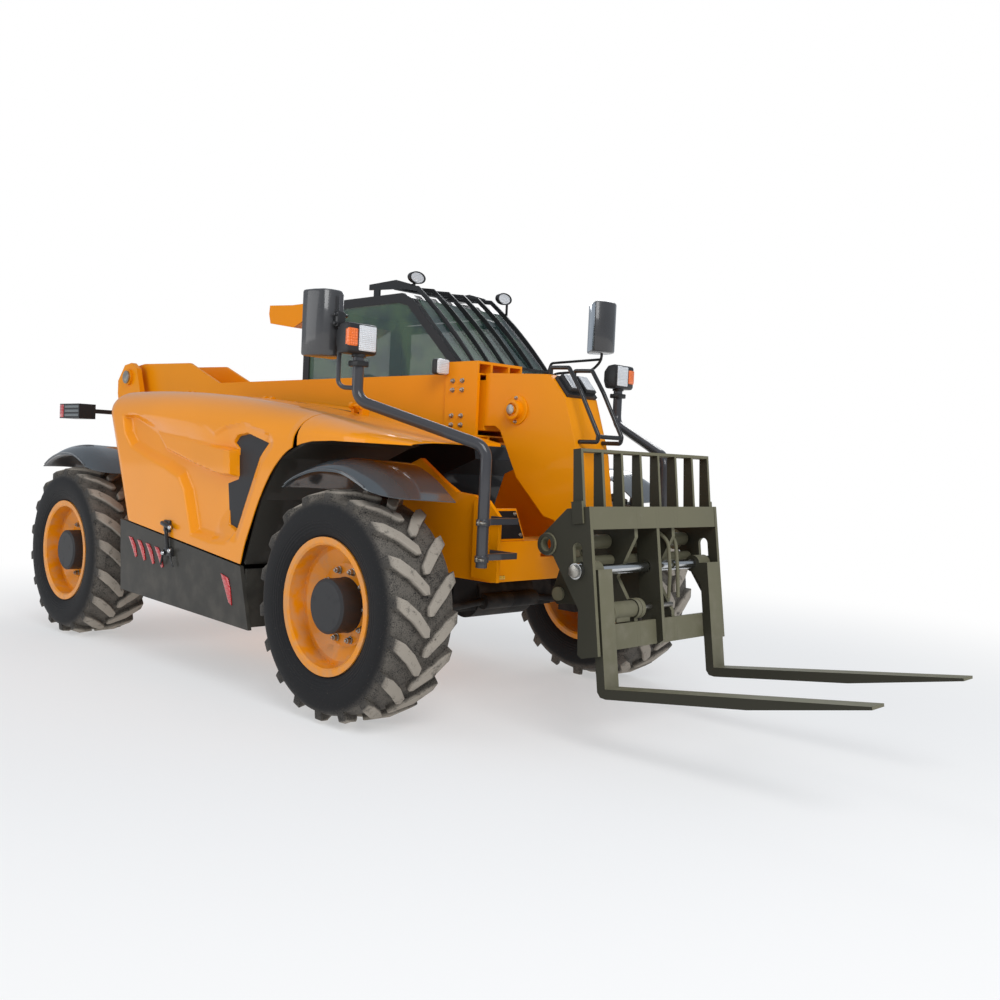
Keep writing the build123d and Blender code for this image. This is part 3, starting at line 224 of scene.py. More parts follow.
def painted(name, tone, dust, low_dust, roughness, coat):
    """A sprayed coat with faint orange peel, broad tone drift and dust that thickens downwards."""
    finish = Finish(name)
    drift = finish.noise(1.7, 4)
    grime = finish.noise(9, 6)
    base = finish.blend(drift, darker(tone, 0.92), tuple(min(1, channel * 1.06) for channel in tone))
    settled = finish.mask(grime - finish.z * 0.45, 0.12, 0.62) * low_dust
    peel = finish.noise(420, 2)
    return finish.surface(
        Base_Color=finish.blend(settled, base, dust),
        Roughness=roughness + drift * 0.06 + settled * 0.4,
        Coat_Weight=(1 - settled) * coat,
        Coat_Roughness=0.06,
        Specular_IOR_Level=0.12,
        Normal=finish.bump(peel, 0.00003, 0.004),
    )


def olive(name, tone, dust, shaded_planes):
    """Matt olive steel, with painted shade that turns near black the sides lying at these distances from the
    middle plane, and everything beyond the hitch boss.
    """
    finish = Finish(name)
    drift = finish.noise(2.4, 4)
    grime = finish.noise(13, 6)
    aside = abs(finish.y)
    # painted shade: near black beyond the hitch boss's outer face and on the side faces at the given planes
    shade = finish.mask(aside, HITCH_BOSS, HITCH_BOSS + 0.0007)
    for plane in shaded_planes:
        shade = shade + (1 - finish.mask(abs(aside - plane), 0.0001, 0.0003))
    base = finish.blend(drift, darker(tone, 0.85), darker(tone, 1.12))
    settled = finish.mask(grime - finish.z * 0.3, 0.25, 0.7) * 0.25
    # the base colour goes near black wherever the painted shade lies
    return finish.surface(
        Base_Color=finish.blend(shade.clamp() * 0.95, finish.blend(settled, base, dust), darker(tone, 0.14)),
        Roughness=0.5 + drift * 0.1 + settled * 0.3,
        Specular_IOR_Level=0.25,
        Normal=finish.bump(finish.noise(300, 3), 0.00006, 0.003),
    )


def moulded(name, tone, roughness, grain, coat=0.0):
    """Moulded plastic or rubber with a fine grain."""
    finish = Finish(name)
    cloud = finish.noise(6, 5)
    speck = finish.noise(grain, 3)
    return finish.surface(
        Base_Color=finish.blend(cloud, darker(tone, 0.8), darker(tone, 1.25)),
        Roughness=roughness + cloud * 0.12 - 0.06,
        Coat_Weight=finish.mask(cloud, 0.0, 0.3) * coat,
        Coat_Roughness=0.08,
        Specular_IOR_Level=0.3,
        Normal=finish.bump(speck, 0.0002, 0.003),
    )


def metal(name, tone, roughness):
    """Bright or plated metal with fine turning marks."""
    finish = Finish(name)
    cloud = finish.noise(14, 4)
    lines = finish.noise(90, 2, stretch=(1, 9, 9))
    return finish.surface(
        Base_Color=finish.blend(cloud, darker(tone, 0.8), tone),
        Metallic=1.0,
        Roughness=roughness + cloud * 0.14,
        Normal=finish.bump(lines, 0.00008, 0.0015),
    )


def rim_paint(name, axle_x, tone, dust, plastic):
    """Rim enamel with road dust in the barrel, and a dark cap over the hub."""
    finish = Finish(name)
    reach = finish.reach(axle_x)
    cap = 1 - finish.mask(reach, 0.134, 0.136)
    grime = finish.noise(16, 6)
    dirt = finish.mask(grime + reach * 0.9, 0.62, 0.95) * 0.75
    scuff = finish.noise(60, 3)
    body = finish.blend(dirt, darker(tone, 0.95), finish.blend(0.45, tone, dust))
    return finish.surface(
        Base_Color=finish.blend(cap, body, darker(plastic, 1.6)),
        Roughness=0.3 + dirt * 0.4 + cap * 0.2,
        Coat_Weight=(1 - cap) * (1 - dirt) * 0.3,
        Specular_IOR_Level=0.3,
        Normal=finish.bump(scuff, 0.0002, 0.003),
    )


def tread_rubber(name, axle_x, tone, dust):
    """Tyre rubber: black sidewalls with a few moulded rings, and dry dust on the lug tops."""
    finish = Finish(name)
    reach = finish.reach(axle_x)
    grime = finish.noise(22, 6)
    fine = finish.noise(160, 4)
    tread = 1 - finish.mask(abs(finish.y), TRACK_Y + 0.17, TRACK_Y + 0.2)
    top = finish.mask(reach, TYRE_R - 0.026, TYRE_R - 0.008)
    floor = finish.mask(reach, 0.46, 0.5) * tread * 0.35
    worn = finish.mask(fine + grime * 0.5, 0.45, 0.85)
    dusty = (top * (0.75 + worn * 0.25) * finish.mask(grime, 0.2, 0.5) + floor * worn).clamp()
    rings = (reach * 420.0).sine()
    ringed = finish.mask(reach, 0.345, 0.36) * (1 - finish.mask(reach, 0.4, 0.41))
    speck = finish.mask(fine, 0.62, 0.75) * 0.25
    base = finish.blend(speck, tone, darker(dust, 0.45))
    return finish.surface(
        Base_Color=finish.blend(dusty, base, dust),
        Roughness=0.62 + dusty * 0.3 - speck * 0.1,
        Specular_IOR_Level=0.22,
        Normal=finish.bump(rings * ringed * 0.6 + fine * 0.5, 0.0012),
    )


def lens(name, tone, roughness, alpha, rib=0.0, glow=0.0, second=None):
    """Lamp or window glass: a tint that can drift in patches to a second one, with optional ribs and glow; on
    the window the second tint is a painted reflection.
    """
    finish = Finish(name)
    haze_and_reflection = finish.noise(5, 3)
    sockets = {
        # where a second tint is given, its patches are a painted reflection
        "Base_Color": finish.blend(finish.mask(haze_and_reflection, 0.4, 0.6), darker(tone, 0.85), second or tone),
        "Roughness": roughness + haze_and_reflection * 0.04,
        "Coat_Weight": 1.0,
        "Coat_Roughness": 0.03,
        "Alpha": alpha,
    }
    if rib:
        sockets["Normal"] = finish.bump((finish.z * rib).sine() + (finish.y * rib).sine(), 0.0015)
    if glow:
        sockets["Emission_Color"] = (*tone, 1.0)
        sockets["Emission_Strength"] = glow
    return finish.surface(**sockets)


def upholstery(name, tone):
    """Coarse seat fabric."""
    finish = Finish(name)
    weave = finish.node("ShaderNodeTexVoronoi", {}, {"Vector": finish.place, "Scale": 380.0})
    cloud = finish.noise(11, 4)
    return finish.surface(
        Base_Color=finish.blend(cloud, darker(tone, 0.7), darker(tone, 1.3)),
        Roughness=0.8 + cloud * 0.1,
        Normal=finish.bump(weave, 0.0006),
    )


# distances from the middle plane of the side faces that get painted shade, near black
HITCH_BOSS = 0.5205
CHEEK_OUT, CHEEK_T = 0.51, 0.02
CENTRE_HALF = 0.011
LEVER_IN, LEVER_T = 0.137, 0.025
CARRIAGE_SHADED_SIDES = [CHEEK_OUT, CHEEK_OUT - CHEEK_T, CENTRE_HALF, LEVER_IN, LEVER_IN + LEVER_T]
UPRIGHT_HALF = 0.008
UPRIGHTS = [(CHEEK_OUT - UPRIGHT_HALF) * k / 7 for k in (1, 3, 5, 7)]
GUARD_SHADED_SIDES = [CHEEK_OUT] + [y + face for y in UPRIGHTS for face in (-UPRIGHT_HALF, UPRIGHT_HALF)]
FORK_SHADED_SIDES = [0.482, 0.382]

FINISH = {}


def mix_finishes():
    """Makes every finish from the colours."""
    tones = bpy.context.scene.telehandler_colours
    tone = {key: tuple(getattr(tones, key)) for key in tones.__annotations__}
    FINISH.update(
        enamel=painted("enamel", tone["enamel"], tone["dust"], 0.05, 0.34, 0.1),
        hood_enamel=painted("hood_enamel", tone["enamel"], tone["dust"], 0.05, 0.3, 0.6),
        # olive, guard_olive and fork_olive differ only in which side faces carry painted shade
        olive=olive("olive", tone["olive"], tone["dust"], CARRIAGE_SHADED_SIDES),
        guard_olive=olive("guard_olive", tone["olive"], tone["dust"], GUARD_SHADED_SIDES),
        fork_olive=olive("fork_olive", tone["olive"], tone["dust"], FORK_SHADED_SIDES),
        graphite=painted("graphite", tone["graphite"], tone["dust"], 0.12, 0.42, 0.2),
        chassis_black=painted("chassis_black", darker(tone["plastic"], 0.6), tone["dust"], 0.12, 0.55, 0.0),
        gloss=moulded("gloss", tone["gloss"], 0.16, 300, coat=1.0),
        plastic=moulded("plastic", tone["plastic"], 0.38, 600),
        shell=moulded("shell", (0.045, 0.045, 0.047), 0.28, 500, coat=0.6),
        grey=moulded("grey", (0.16, 0.175, 0.18), 0.4, 500),
        hose=moulded("hose", tone["rubber"], 0.5, 500),
        black_steel=painted("black_steel", darker(tone["plastic"], 1.1), tone["dust"], 0.05, 0.3, 0.5),
        dark_tube=painted("dark_tube", (0.05, 0.05, 0.055), tone["dust"], 0.05, 0.3, 0.6),
        chrome=metal("chrome", (0.62, 0.63, 0.64), 0.12),
        zinc=metal("zinc", (0.42, 0.4, 0.36), 0.28),
        # the window's own green tint drifts in patches to a lighter green, a painted reflection of greenery
        window=lens("window", tone["glass"], 0.05, 0.5, second=(0.09, 0.17, 0.1)),
        clear=lens("clear", (0.75, 0.77, 0.8), 0.12, 1.0, rib=700, glow=0.15),
        amber=lens("amber", tone["amber"], 0.18, 1.0, rib=500, glow=0.12),
        yellow=lens("yellow", (0.9, 0.5, 0.02), 0.2, 1.0, rib=300),
        red=lens("red", tone["red"], 0.2, 1.0, rib=260),
        mirror=metal("mirror", (0.6, 0.64, 0.68), 0.03),
        seat=upholstery("seat", (0.03, 0.03, 0.033)),
        mesh=moulded("mesh", (0.02, 0.021, 0.024), 0.5, 900),
    )
    for place, axle_x in AXLES.items():
        tread_name, rim_name = f"tread_{place}", f"rim_{place}"
        FINISH[tread_name] = tread_rubber(tread_name, axle_x, tone["rubber"], tone["dust"])
        FINISH[rim_name] = rim_paint(rim_name, axle_x, tone["enamel"], tone["dust"], tone["plastic"])


# --- modelling --------------------------------------------------------------------------------
def at(x, y, z):
    """A place from the front axle on the ground."""
    return Vector((x + FRONT_AXLE, y, z))


VIEWS = {
    "side": lambda a, b, depth: at(a, depth, b),
    "plan": lambda a, b, depth: at(a, b, depth),
    "front": lambda a, b, depth: at(depth, a, b),
}


def select(*pieces):
    """Selects these pieces alone, the last of them active."""
    bpy.ops.object.select_all(action="DESELECT")
    for piece in pieces:
        piece.select_set(True)
        bpy.context.view_layer.objects.active = piece


def fresh(name, add, **settings):
    """A new primitive, alone in the selection."""
    bpy.ops.object.select_all(action="DESELECT")
    add(**settings)
    piece = bpy.context.object
    piece.name = piece.data.name = name
    return piece


def settle(piece):
    """Puts the piece's place into its mesh."""
    select(piece)
    bpy.ops.object.transform_apply(location=True, rotation=True, scale=True)
    return piece


def modify(piece, kind, **settings):
    """Adds a modifier and applies it."""
    select(piece)
    modifier = piece.modifiers.new(kind.lower(), kind)
    for key, value in settings.items():
        setattr(modifier, key, value)
    bpy.ops.object.modifier_apply(modifier=modifier.name)
    return piece


def edit(operator, **settings):
    """Runs one edit-mode operator on the whole of the active piece."""
    bpy.ops.object.mode_set(mode="EDIT")
    bpy.ops.mesh.select_all(action="SELECT")
    operator(**settings)
    bpy.ops.object.mode_set(mode="OBJECT")


def soften(piece, width, angle=32):
    """Bevels the piece's sharp edges and shades the rest smooth."""
    if width:
        modify(
            piece, "BEVEL", width=width, segments=2, limit_method="ANGLE",
            angle_limit=math.radians(angle), harden_normals=False,
        )
    select(piece)
    bpy.ops.object.shade_smooth_by_angle(angle=math.radians(angle))
    return piece


def close_mesh(piece):
    """Merges doubles and turns the faces of a closed piece outwards."""
    select(piece)
    edit(bpy.ops.mesh.remove_doubles, threshold=1e-5)
    edit(bpy.ops.mesh.normals_make_consistent, inside=False)
    return piece


def plate(name, outline, low, high, edge=0.003, view="side"):
    """A flat plate: an outline in a side, plan or front view, drawn through from low to high."""
    piece = fresh(name, bpy.ops.mesh.primitive_circle_add, vertices=len(outline), fill_type="NGON")
    for vertex, (a, b) in zip(piece.data.vertices, outline):
        vertex.co = VIEWS[view](a, b, low)
    through = VIEWS[view](0, 0, high) - VIEWS[view](0, 0, low)
    edit(bpy.ops.mesh.extrude_region_move, TRANSFORM_OT_translate={"value": through})
    return soften(close_mesh(piece), edge)


def block(name, low, high, edge=0.003):
    """A softened box between two corners measured from the front axle."""
    outline = [(low[0], low[2]), (high[0], low[2]), (high[0], high[2]), (low[0], high[2])]
    return plate(name, outline, low[1], high[1], edge)


def world_block(name, low, high, edge=0.003):
    """A softened box between two corners in the frame's own axes."""
    piece = block(name, low, high, edge)
    piece.data.transform(Matrix.Translation((-FRONT_AXLE, 0, 0)))
    return piece


def rod(name, start, end, radius, edge=0.002, sides=32):
    """A round bar, or a hexagonal one with six sides."""
    start, end = Vector(start), Vector(end)
    axis = end - start
    piece = fresh(
        name, bpy.ops.mesh.primitive_cylinder_add, vertices=sides, radius=radius, depth=axis.length,
        location=(start + end) / 2, rotation=axis.to_track_quat("Z", "Y").to_euler(),
    )
    return soften(settle(piece), edge)


def ball(name, centre, radius, segments, rings):
    """A round knob."""
    piece = fresh(
        name, bpy.ops.mesh.primitive_uv_sphere_add, segments=segments, ring_count=rings, radius=radius,
        location=centre,
    )
    return soften(settle(piece), 0)


def ring(name, start, end, outer, inner):
    """A washer or collar: a round bar with a round hole through it."""
    sides = 40
    piece = rod(name, start, end, outer, 0.0015, sides)
    past = (Vector(end) - Vector(start)).normalized() * 0.002
    hole = rod("hole", Vector(start) - past, Vector(end) + past, inner, 0, sides)
    modify(piece, "BOOLEAN", object=hole, operation="DIFFERENCE", solver="EXACT")
    bpy.data.objects.remove(hole)
    return soften(piece, 0)


def bent(points, corner):
    """The points of a bent route: straight runs with a round at each corner."""
    steps = 6
    route = [Vector(points[0])]
    for before, here, after in zip(points, points[1:], points[2:]):
        before, here, after = Vector(before), Vector(here), Vector(after)
        back, on = before - here, after - here
        reach = min(corner, back.length * 0.48, on.length * 0.48)
        enter, leave = here + back.normalized() * reach, here + on.normalized() * reach
        for step in range(steps + 1):
            t = step / steps
            route.append(enter * (1 - t) ** 2 + here * 2 * t * (1 - t) + leave * t * t)
    return route + [Vector(points[-1])]


def pipe(name, points, radius, corner=0.05, rings=4):
    """A bent round tube with closed ends."""
    curve = bpy.data.curves.new(name, "CURVE")
    curve.dimensions, curve.bevel_depth, curve.bevel_resolution = "3D", radius, rings
    curve.use_fill_caps = True
    route = bent(points, corner)
    spline = curve.splines.new("POLY")
    spline.points.add(len(route) - 1)
    for point, place in zip(spline.points, route):
        point.co = (*place, 1)
    piece = bpy.data.objects.new(name, curve)
    bpy.context.scene.collection.objects.link(piece)
    select(piece)
    bpy.ops.object.convert(target="MESH")
    return soften(close_mesh(bpy.context.object), 0, angle=40)


def turned(name, profile, centre, axis, out, steps):
    """A turned piece from a closed (u, r) section: u along its axis, r from the axis."""
    centre, axis, out = Vector(centre), Vector(axis), Vector(out)
    piece = fresh(name, bpy.ops.mesh.primitive_circle_add, vertices=len(profile), fill_type="NOTHING")
    for vertex, (u, r) in zip(piece.data.vertices, profile):
        vertex.co = centre + axis * u + out * r
    edit(bpy.ops.mesh.spin, steps=steps, angle=2 * math.pi, center=centre, axis=axis)
    return close_mesh(piece)


def sheet_of(name, columns, rows, place, outwards, thickness):
    """A curved panel: place(a, b) puts each point of a grid, and a wall is added inwards."""
    piece = fresh(
        name, bpy.ops.mesh.primitive_grid_add, x_subdivisions=columns, y_subdivisions=rows, size=1
    )
    for vertex in piece.data.vertices:
        vertex.co = place(vertex.co.x + 0.5, vertex.co.y + 0.5)
    piece.data.update()
    total = sum((face.normal * face.area for face in piece.data.polygons), Vector())
    if total.dot(Vector(outwards)) < 0:
        piece.data.flip_normals()
    modify(piece, "SOLIDIFY", thickness=thickness, offset=-1)
    return soften(piece, 0, angle=24)


def copies(master, moves):
    """Copies of a piece, each with its own mesh moved by a matrix. The master goes."""
    made = []
    for move in moves:
        mesh = master.data.copy()
        mesh.transform(move)
        if move.determinant() < 0:
            mesh.flip_normals()
        piece = bpy.data.objects.new(master.name + "_copy", mesh)
        bpy.context.scene.collection.objects.link(piece)
        made.append(piece)
    bpy.data.objects.remove(master)
    return made


def join(name, pieces):
    """One piece from several."""
    select(*pieces)
    bpy.ops.object.join()
    piece = bpy.context.object
    piece.name = piece.data.name = name
    return piece


def dress(piece, finish, body, *nodes):
    """Gives a piece its finish and its body, and hides the CAD nodes it stands for."""
    piece.data.materials.clear()
    piece.data.materials.append(FINISH[finish])
    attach(piece, body)
    if nodes:
        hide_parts(*nodes)
    return piece


def bolts(name, places, axis, radius, height, body):
    """Zinc hex heads on washers, all along one axis."""
    axis = Vector(axis)
    washer = rod("washer", axis * 0.0, axis * height * 0.25, radius * 1.25, 0.0006, 20)
    head = rod("head", axis * height * 0.2, axis * height, radius, 0.0012, 6)
    stud = rod("stud", axis * height * 0.6, axis * height * 1.35, radius * 0.5, 0.001, 14)
    bolt = join("bolt", [washer, head, stud])
    return dress(join(name, copies(bolt, [Matrix.Translation(p) for p in places])), "zinc", body)


def held(value):
    """A number kept between 0 and 1."""
    return max(0.0, min(1.0, value))


def smooth(value):
    """A soft step from 0 to 1."""
    value = held(value)
    return value * value * (3 - 2 * value)


def along(table, x):
    """The value at x of a table of (x, value) points, by straight runs."""
    for (x0, v0), (x1, v1) in zip(table, table[1:]):
        if x <= x1:
            return v0 + (v1 - v0) * max(0.0, (x - x0) / (x1 - x0))
    return table[-1][1]


def curve_at(points, t):
    """A smooth curve through side-view points, t from 0 to 1."""
    place = t * (len(points) - 1)
    step = min(int(place), len(points) - 2)
    f = place - step
    p0, p1 = points[max(step - 1, 0)], points[step]
    p2, p3 = points[step + 1], points[min(step + 2, len(points) - 1)]
    return tuple(
        0.5 * (2 * b + (c - a) * f + (2 * a - 5 * b + 4 * c - d) * f * f + (3 * b - a - 3 * c + d) * f ** 3)
        for a, b, c, d in zip(p0, p1, p2, p3)
    )


def edge_distance(point, outline):
    """How far a side-view point lies from a line of straight runs."""
    px, pz = point
    best = math.inf
    for (x0, z0), (x1, z1) in zip(outline, outline[1:]):
        dx, dz = x1 - x0, z1 - z0
        t = held(((px - x0) * dx + (pz - z0) * dz) / (dx * dx + dz * dz))
        best = min(best, math.hypot(px - x0 - t * dx, pz - z0 - t * dz))
    return best


def inside(point, outline):
    """Whether a side-view point lies in a closed outline."""
    px, pz = point
    within = False
    for (x0, z0), (x1, z1) in zip(outline, outline[1:] + outline[:1]):
        if (z0 > pz) != (z1 > pz) and px < x0 + (pz - z0) * (x1 - x0) / (z1 - z0):
            within = not within
    return within


# --- wheels -----------------------------------------------------------------------------------
LUG = [  # (u outward, t along the rolling direction) of a lug's foot, from shoulder to centre
    (0.187, -0.03), (0.187, 0.03), (0.1, 0.104), (0.022, 0.186), (-0.006, 0.186), (-0.006, 0.142),
    (0.06, 0.062), (0.13, 0.0),
]
LUG_STRETCH = 1.06
SHOULDER_U = 0.187
CASING = [  # (u, radius), closed by the mirrored half
    (0.168, 0.303), (0.172, 0.333), (0.183, 0.345), (0.193, 0.37), (0.199, 0.41), (0.2, 0.44),
    (0.196, 0.475), (0.186, 0.5), (0.16, 0.513), (0.1, 0.52), (0.0, 0.522),
]
DISC_U = 0.052          # the rim disc's outer face, from the wheel's middle plane
NUTS, NUT_CIRCLE = 10, 0.172


def lug_top(u):
    """The tread's outer radius at u: nearly flat, rounding off at the shoulder."""
    return TYRE_R - 0.0036 - 0.016 * max(0.0, abs(u) / SHOULDER_U) ** 4


def lug_master(height):
    """One lug on the near half of a tread whose axle lies on the origin, at the top."""
    foot = TYRE_R - height - 0.03
    shoulder_foot, shoulder_from = 0.468, 0.15
    piece = fresh("lug", bpy.ops.mesh.primitive_circle_add, vertices=len(LUG), fill_type="NGON")
    for vertex, (u, t) in zip(piece.data.vertices, LUG):
        vertex.co = (t * LUG_STRETCH, -u, foot)
    edit(bpy.ops.mesh.extrude_region_move, TRANSFORM_OT_translate={"value": (0, 0, 1)})
    for vertex in piece.data.vertices:
        x, y, z = vertex.co
        u, t = -y, x / LUG_STRETCH
        tuck = 0.0
        if z > foot + 0.5:                # the top is drawn in a little, towards the lug's middle
            u, t = 0.01 + (u - 0.01) * 0.975, 0.075 + (t - 0.075) * 0.955
            radius = lug_top(u)
        elif u < shoulder_from:
            radius = foot
        else:
            radius, tuck = shoulder_foot, 0.006
        turn = t / TYRE_R
        vertex.co = (math.sin(turn) * radius, -u - tuck, math.cos(turn) * radius)
    return soften(close_mesh(piece), 0.005, angle=40)


def tread(name, centre, lugs, height):
    """A tyre: a turned casing with two rows of swept lugs."""
    section = CASING + [(-u, r) for u, r in reversed(CASING[:-1])]
    casing = soften(turned("casing", section, centre, (0, 1, 0), (0, 0, 1), 108), 0, angle=28)
    moves = []
    to_wheel = Matrix.Translation(centre)
    for number in range(lugs):
        turn = Matrix.Rotation(2 * math.pi * number / lugs, 4, "Y")
        between = Matrix.Rotation(2 * math.pi * (number + 0.5) / lugs, 4, "Y")
        moves.append(to_wheel @ turn)
        moves.append(to_wheel @ between @ Matrix.Scale(-1, 4, (0, 1, 0)))
    return join(name, copies(lug_master(height), moves) + [casing])


class TELEHANDLER_OT_wheels(bpy.types.Operator):
    """Lugged tyres and wheel nuts"""

    bl_idname = "telehandler.wheels"
    bl_label = "Wheels"

    def execute(self, context):
        sizes = context.scene.telehandler_sizes
        for place, axle_x in AXLES.items():
            for hand, side in SIDES.items():
                corner = f"{place}_{hand}"
                centre = Vector((axle_x, side * TRACK_Y, AXLE_Z))
                tyre = tread(f"{corner}_tread", centre, sizes.lugs, sizes.lug_height)
                dress(tyre, f"tread_{place}", BODY_OF[f"{corner}_tyre"], f"{corner}_tyre")
                spots = []
                for number in range(NUTS):
                    turn = 2 * math.pi * (number + 0.5) / NUTS
                    out = Vector((math.sin(turn) * NUT_CIRCLE, side * DISC_U, math.cos(turn) * NUT_CIRCLE))
                    spots.append(centre + out)
                bolts(f"{corner}_nuts", spots, (0, side, 0), 0.015, 0.026, BODY_OF[f"{corner}_rim"])
        return {"FINISHED"}


# --- hood and front wing ----------------------------------------------------------------------
POD_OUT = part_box("hood")[0][1]
HOOD_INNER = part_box("hood")[1][1]
HOOD_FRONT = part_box("hood")[1][0] - FRONT_AXLE
WING_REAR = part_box("front_wing")[0][0] - FRONT_AXLE
WING_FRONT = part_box("front_wing")[1][0] - FRONT_AXLE - 0.004
WING_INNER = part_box("front_wing")[1][1]
POD_TOP = [(-2.4, 1.618), (-1.0, 1.568), (0.43, 1.357)]
ARCH = [
    (-0.756, 0.684), (-0.722, 0.79), (-0.66, 0.92), (-0.597, 1.04), (-0.51, 1.165), (-0.415, 1.255),
    (-0.33, 1.302), (-0.245, 1.325), (-0.16, 1.338), (-0.04, 1.343), (0.075, 1.344), (0.25, 1.343),
    (0.43, 1.34),
]
WING_FOOT = [(-0.3, 1.31), (-0.245, 1.325), (-0.16, 1.338), (0.0, 1.3435), (0.43, 1.335)]
RECESS = [  # the step round the sunk part of the flank, from its top right end round to its foot
    (-1.2, 1.436), (-1.498, 1.456), (-1.698, 1.467), (-1.993, 1.473), (-2.15, 1.462), (-2.112, 1.344),
    (-2.022, 1.263), (-1.825, 1.207), (-1.596, 1.156), (-1.435, 1.104), (-1.372, 1.03), (-1.28, 0.79),
    (-1.079, 0.765), (-0.905, 0.767),
]
SUNK = RECESS + [
    (-0.8, 0.85), (-0.69, 1.06), (-0.6, 1.24), (-0.51, 1.37), (-0.78, 1.432), (-0.95, 1.41), (-1.06, 1.37),
]
SCOOP = [
    (-1.784, 1.378), (-1.375, 1.34), (-0.985, 1.295), (-0.862, 1.285), (-0.852, 1.135), (-0.999, 1.137),
    (-1.289, 1.186), (-1.643, 1.262),
]
INLET = [
    (-0.909, 1.316), (-0.862, 1.362), (-0.764, 1.376), (-0.54, 1.323), (-0.627, 1.244), (-0.711, 1.075),
    (-0.827, 0.845), (-0.93, 0.873), (-0.962, 1.098), (-0.86, 1.125), (-0.86, 1.285),
]
HOOD_BACK = [  # (y, z)
    (HOOD_INNER, 0.9), (HOOD_INNER, 1.55), (-0.78, 1.56), (-0.9, 1.52), (-0.965, 1.42), (-0.98, 0.9),
]
FLANK_END, ROUND_END = 0.72, 0.86       # b where the skin's flank ends, and where its shoulder ends
ROUND_REACH = 0.2                       # how far in the shoulder's round goes
REAR_ROUND = 0.14
SUNK_DEPTH, SCOOP_DEPTH = 0.042, 0.036
INLET_LIP, INLET_DEPTH = 0.012, 0.06    # how deep the inlet's rim lies, and its floor below the rim
LIP_WIDTH = 0.06


def pod_top(x):
    """The height of the pod's top at x, on the curve through its three points."""
    height = 0.0
    for x0, z0 in POD_TOP:
        for other, _ in POD_TOP:
            if other != x0:
                z0 *= (x - other) / (x0 - other)
        height += z0
    return height


def relief(x, z):
    """How deep the flank is pressed in at a point."""
    point = (x, z)
    depth = 0.0
    if inside(point, SUNK):
        left = edge_distance(point, RECESS[4:])
        top = edge_distance(point, RECESS[:5])
        right = edge_distance(point, SUNK[len(RECESS) - 1:] + SUNK[:1])
        fade = 0.02 + 0.3 * held((x + 2.05) / 0.9)
        depth = SUNK_DEPTH * smooth(left / 0.055) * smooth(top / fade)
        depth *= (0.35 + 0.65 * smooth(right / 0.2)) * smooth(right / 0.024)
    if inside(point, SCOOP):
        level = SCOOP_DEPTH - 0.05 * held((x - SCOOP[0][0]) / 0.85)
        share = smooth(edge_distance(point, SCOOP + SCOOP[:1]) / 0.016)
        return depth * (1 - share) + level * share
    edge = edge_distance(point, INLET + INLET[:1])
    if inside(point, INLET):
        return max(depth, INLET_LIP + INLET_DEPTH * smooth(edge / 0.02))
    return max(depth, INLET_LIP * (1 - smooth(edge / LIP_WIDTH)))


def pod_point(bottom, top_x, b, y_in, shoulder, rear=REAR_ROUND, pinch=0.0):
    """A point of the pod's skin: b runs up the flank, over the shoulder and across the top."""
    top = pod_top(top_x)
    rise = min(shoulder, 0.8 * (top - bottom[1]))
    foot = top - rise
    out = POD_OUT + pinch
    over = held((b - FLANK_END) / (ROUND_END - FLANK_END))
    if b < FLANK_END:
        y, z = out, bottom[1] + (foot - bottom[1]) * b / FLANK_END
    elif b < ROUND_END:
        turn = over * math.pi / 2
        y, z = out + ROUND_REACH * (1 - math.cos(turn)), foot + rise * math.sin(turn)
    else:
        y = out + ROUND_REACH + (y_in - out - ROUND_REACH) * (b - ROUND_END) / (1 - ROUND_END)
        z = top
    x = bottom[0] + (top_x - bottom[0]) * (z - bottom[1]) / (top - bottom[1])
    if b < ROUND_END:
        y += relief(x, z) * (1 - over)
    if rear < REAR_ROUND:
        drop = REAR_ROUND - math.sqrt(max(0.0, REAR_ROUND ** 2 - (REAR_ROUND - rear) ** 2))
        y += drop * (1 - over)
        z -= drop * over
    return at(x, y, z)


def hood_point(a, b):
    """The hinged hood: straight along its foot, then up over the arch."""
    split, on_arch = 0.74, 0.505          # share of a for the straight foot, and of the arch for the rest
    rear_foot, rear_top, split_top = (-2.124, 0.834), -2.466, -0.81
    shoulder = bpy.context.scene.telehandler_sizes.shoulder
    if a < split:
        f = a / split
        bottom = [start + f * (end - start) for start, end in zip(rear_foot, ARCH[0])]
        top_x = rear_top + f * (split_top - rear_top)
        return pod_point(bottom, top_x, b, HOOD_INNER, shoulder, rear=f * 1.5)
    f = (a - split) / (1 - split)
    x, z = curve_at(ARCH, f * on_arch)
    top_x = split_top + f * (HOOD_FRONT - split_top)
    return pod_point((min(x, HOOD_FRONT), z), top_x, b, HOOD_INNER, shoulder)


def wing_point(a, b):
    """The fixed wing over the front wheel, drawn in to a blunt corner at its front."""
    x = WING_REAR + (WING_FRONT - WING_REAR) * a
    shoulder = bpy.context.scene.telehandler_sizes.shoulder
    pinch = 0.13 * max(0.0, (x - 0.08) / 0.35) ** 2
    return pod_point((x, along(WING_FOOT, x)), x, b, WING_INNER, shoulder, pinch=pinch)


class TELEHANDLER_OT_hood(bpy.types.Operator):
    """The hood's skin with its pressed flank and leaning back, and the inlet's grille"""

    bl_idname = "telehandler.hood"
    bl_label = "Hood"

    def execute(self, context):
        wall = context.scene.telehandler_sizes.panel
        skin = sheet_of("hood_skin", 280, 150, hood_point, (0, -1, 0.3), wall)
        back = plate("hood_back", HOOD_BACK, -2.2, -2.19, view="front")
        for vertex in back.data.vertices:
            vertex.co.x -= (vertex.co.z - 0.9) * 0.49 - 0.05
        dress(join("hood_skin", [skin, back]), "hood_enamel", BODY_OF["hood"], "hood")
        grille = plate("inlet_grille", INLET, POD_OUT + 0.04, POD_OUT + 0.046, 0.0)
        dress(grille, "mesh", BODY_OF["hood"])
        return {"FINISHED"}


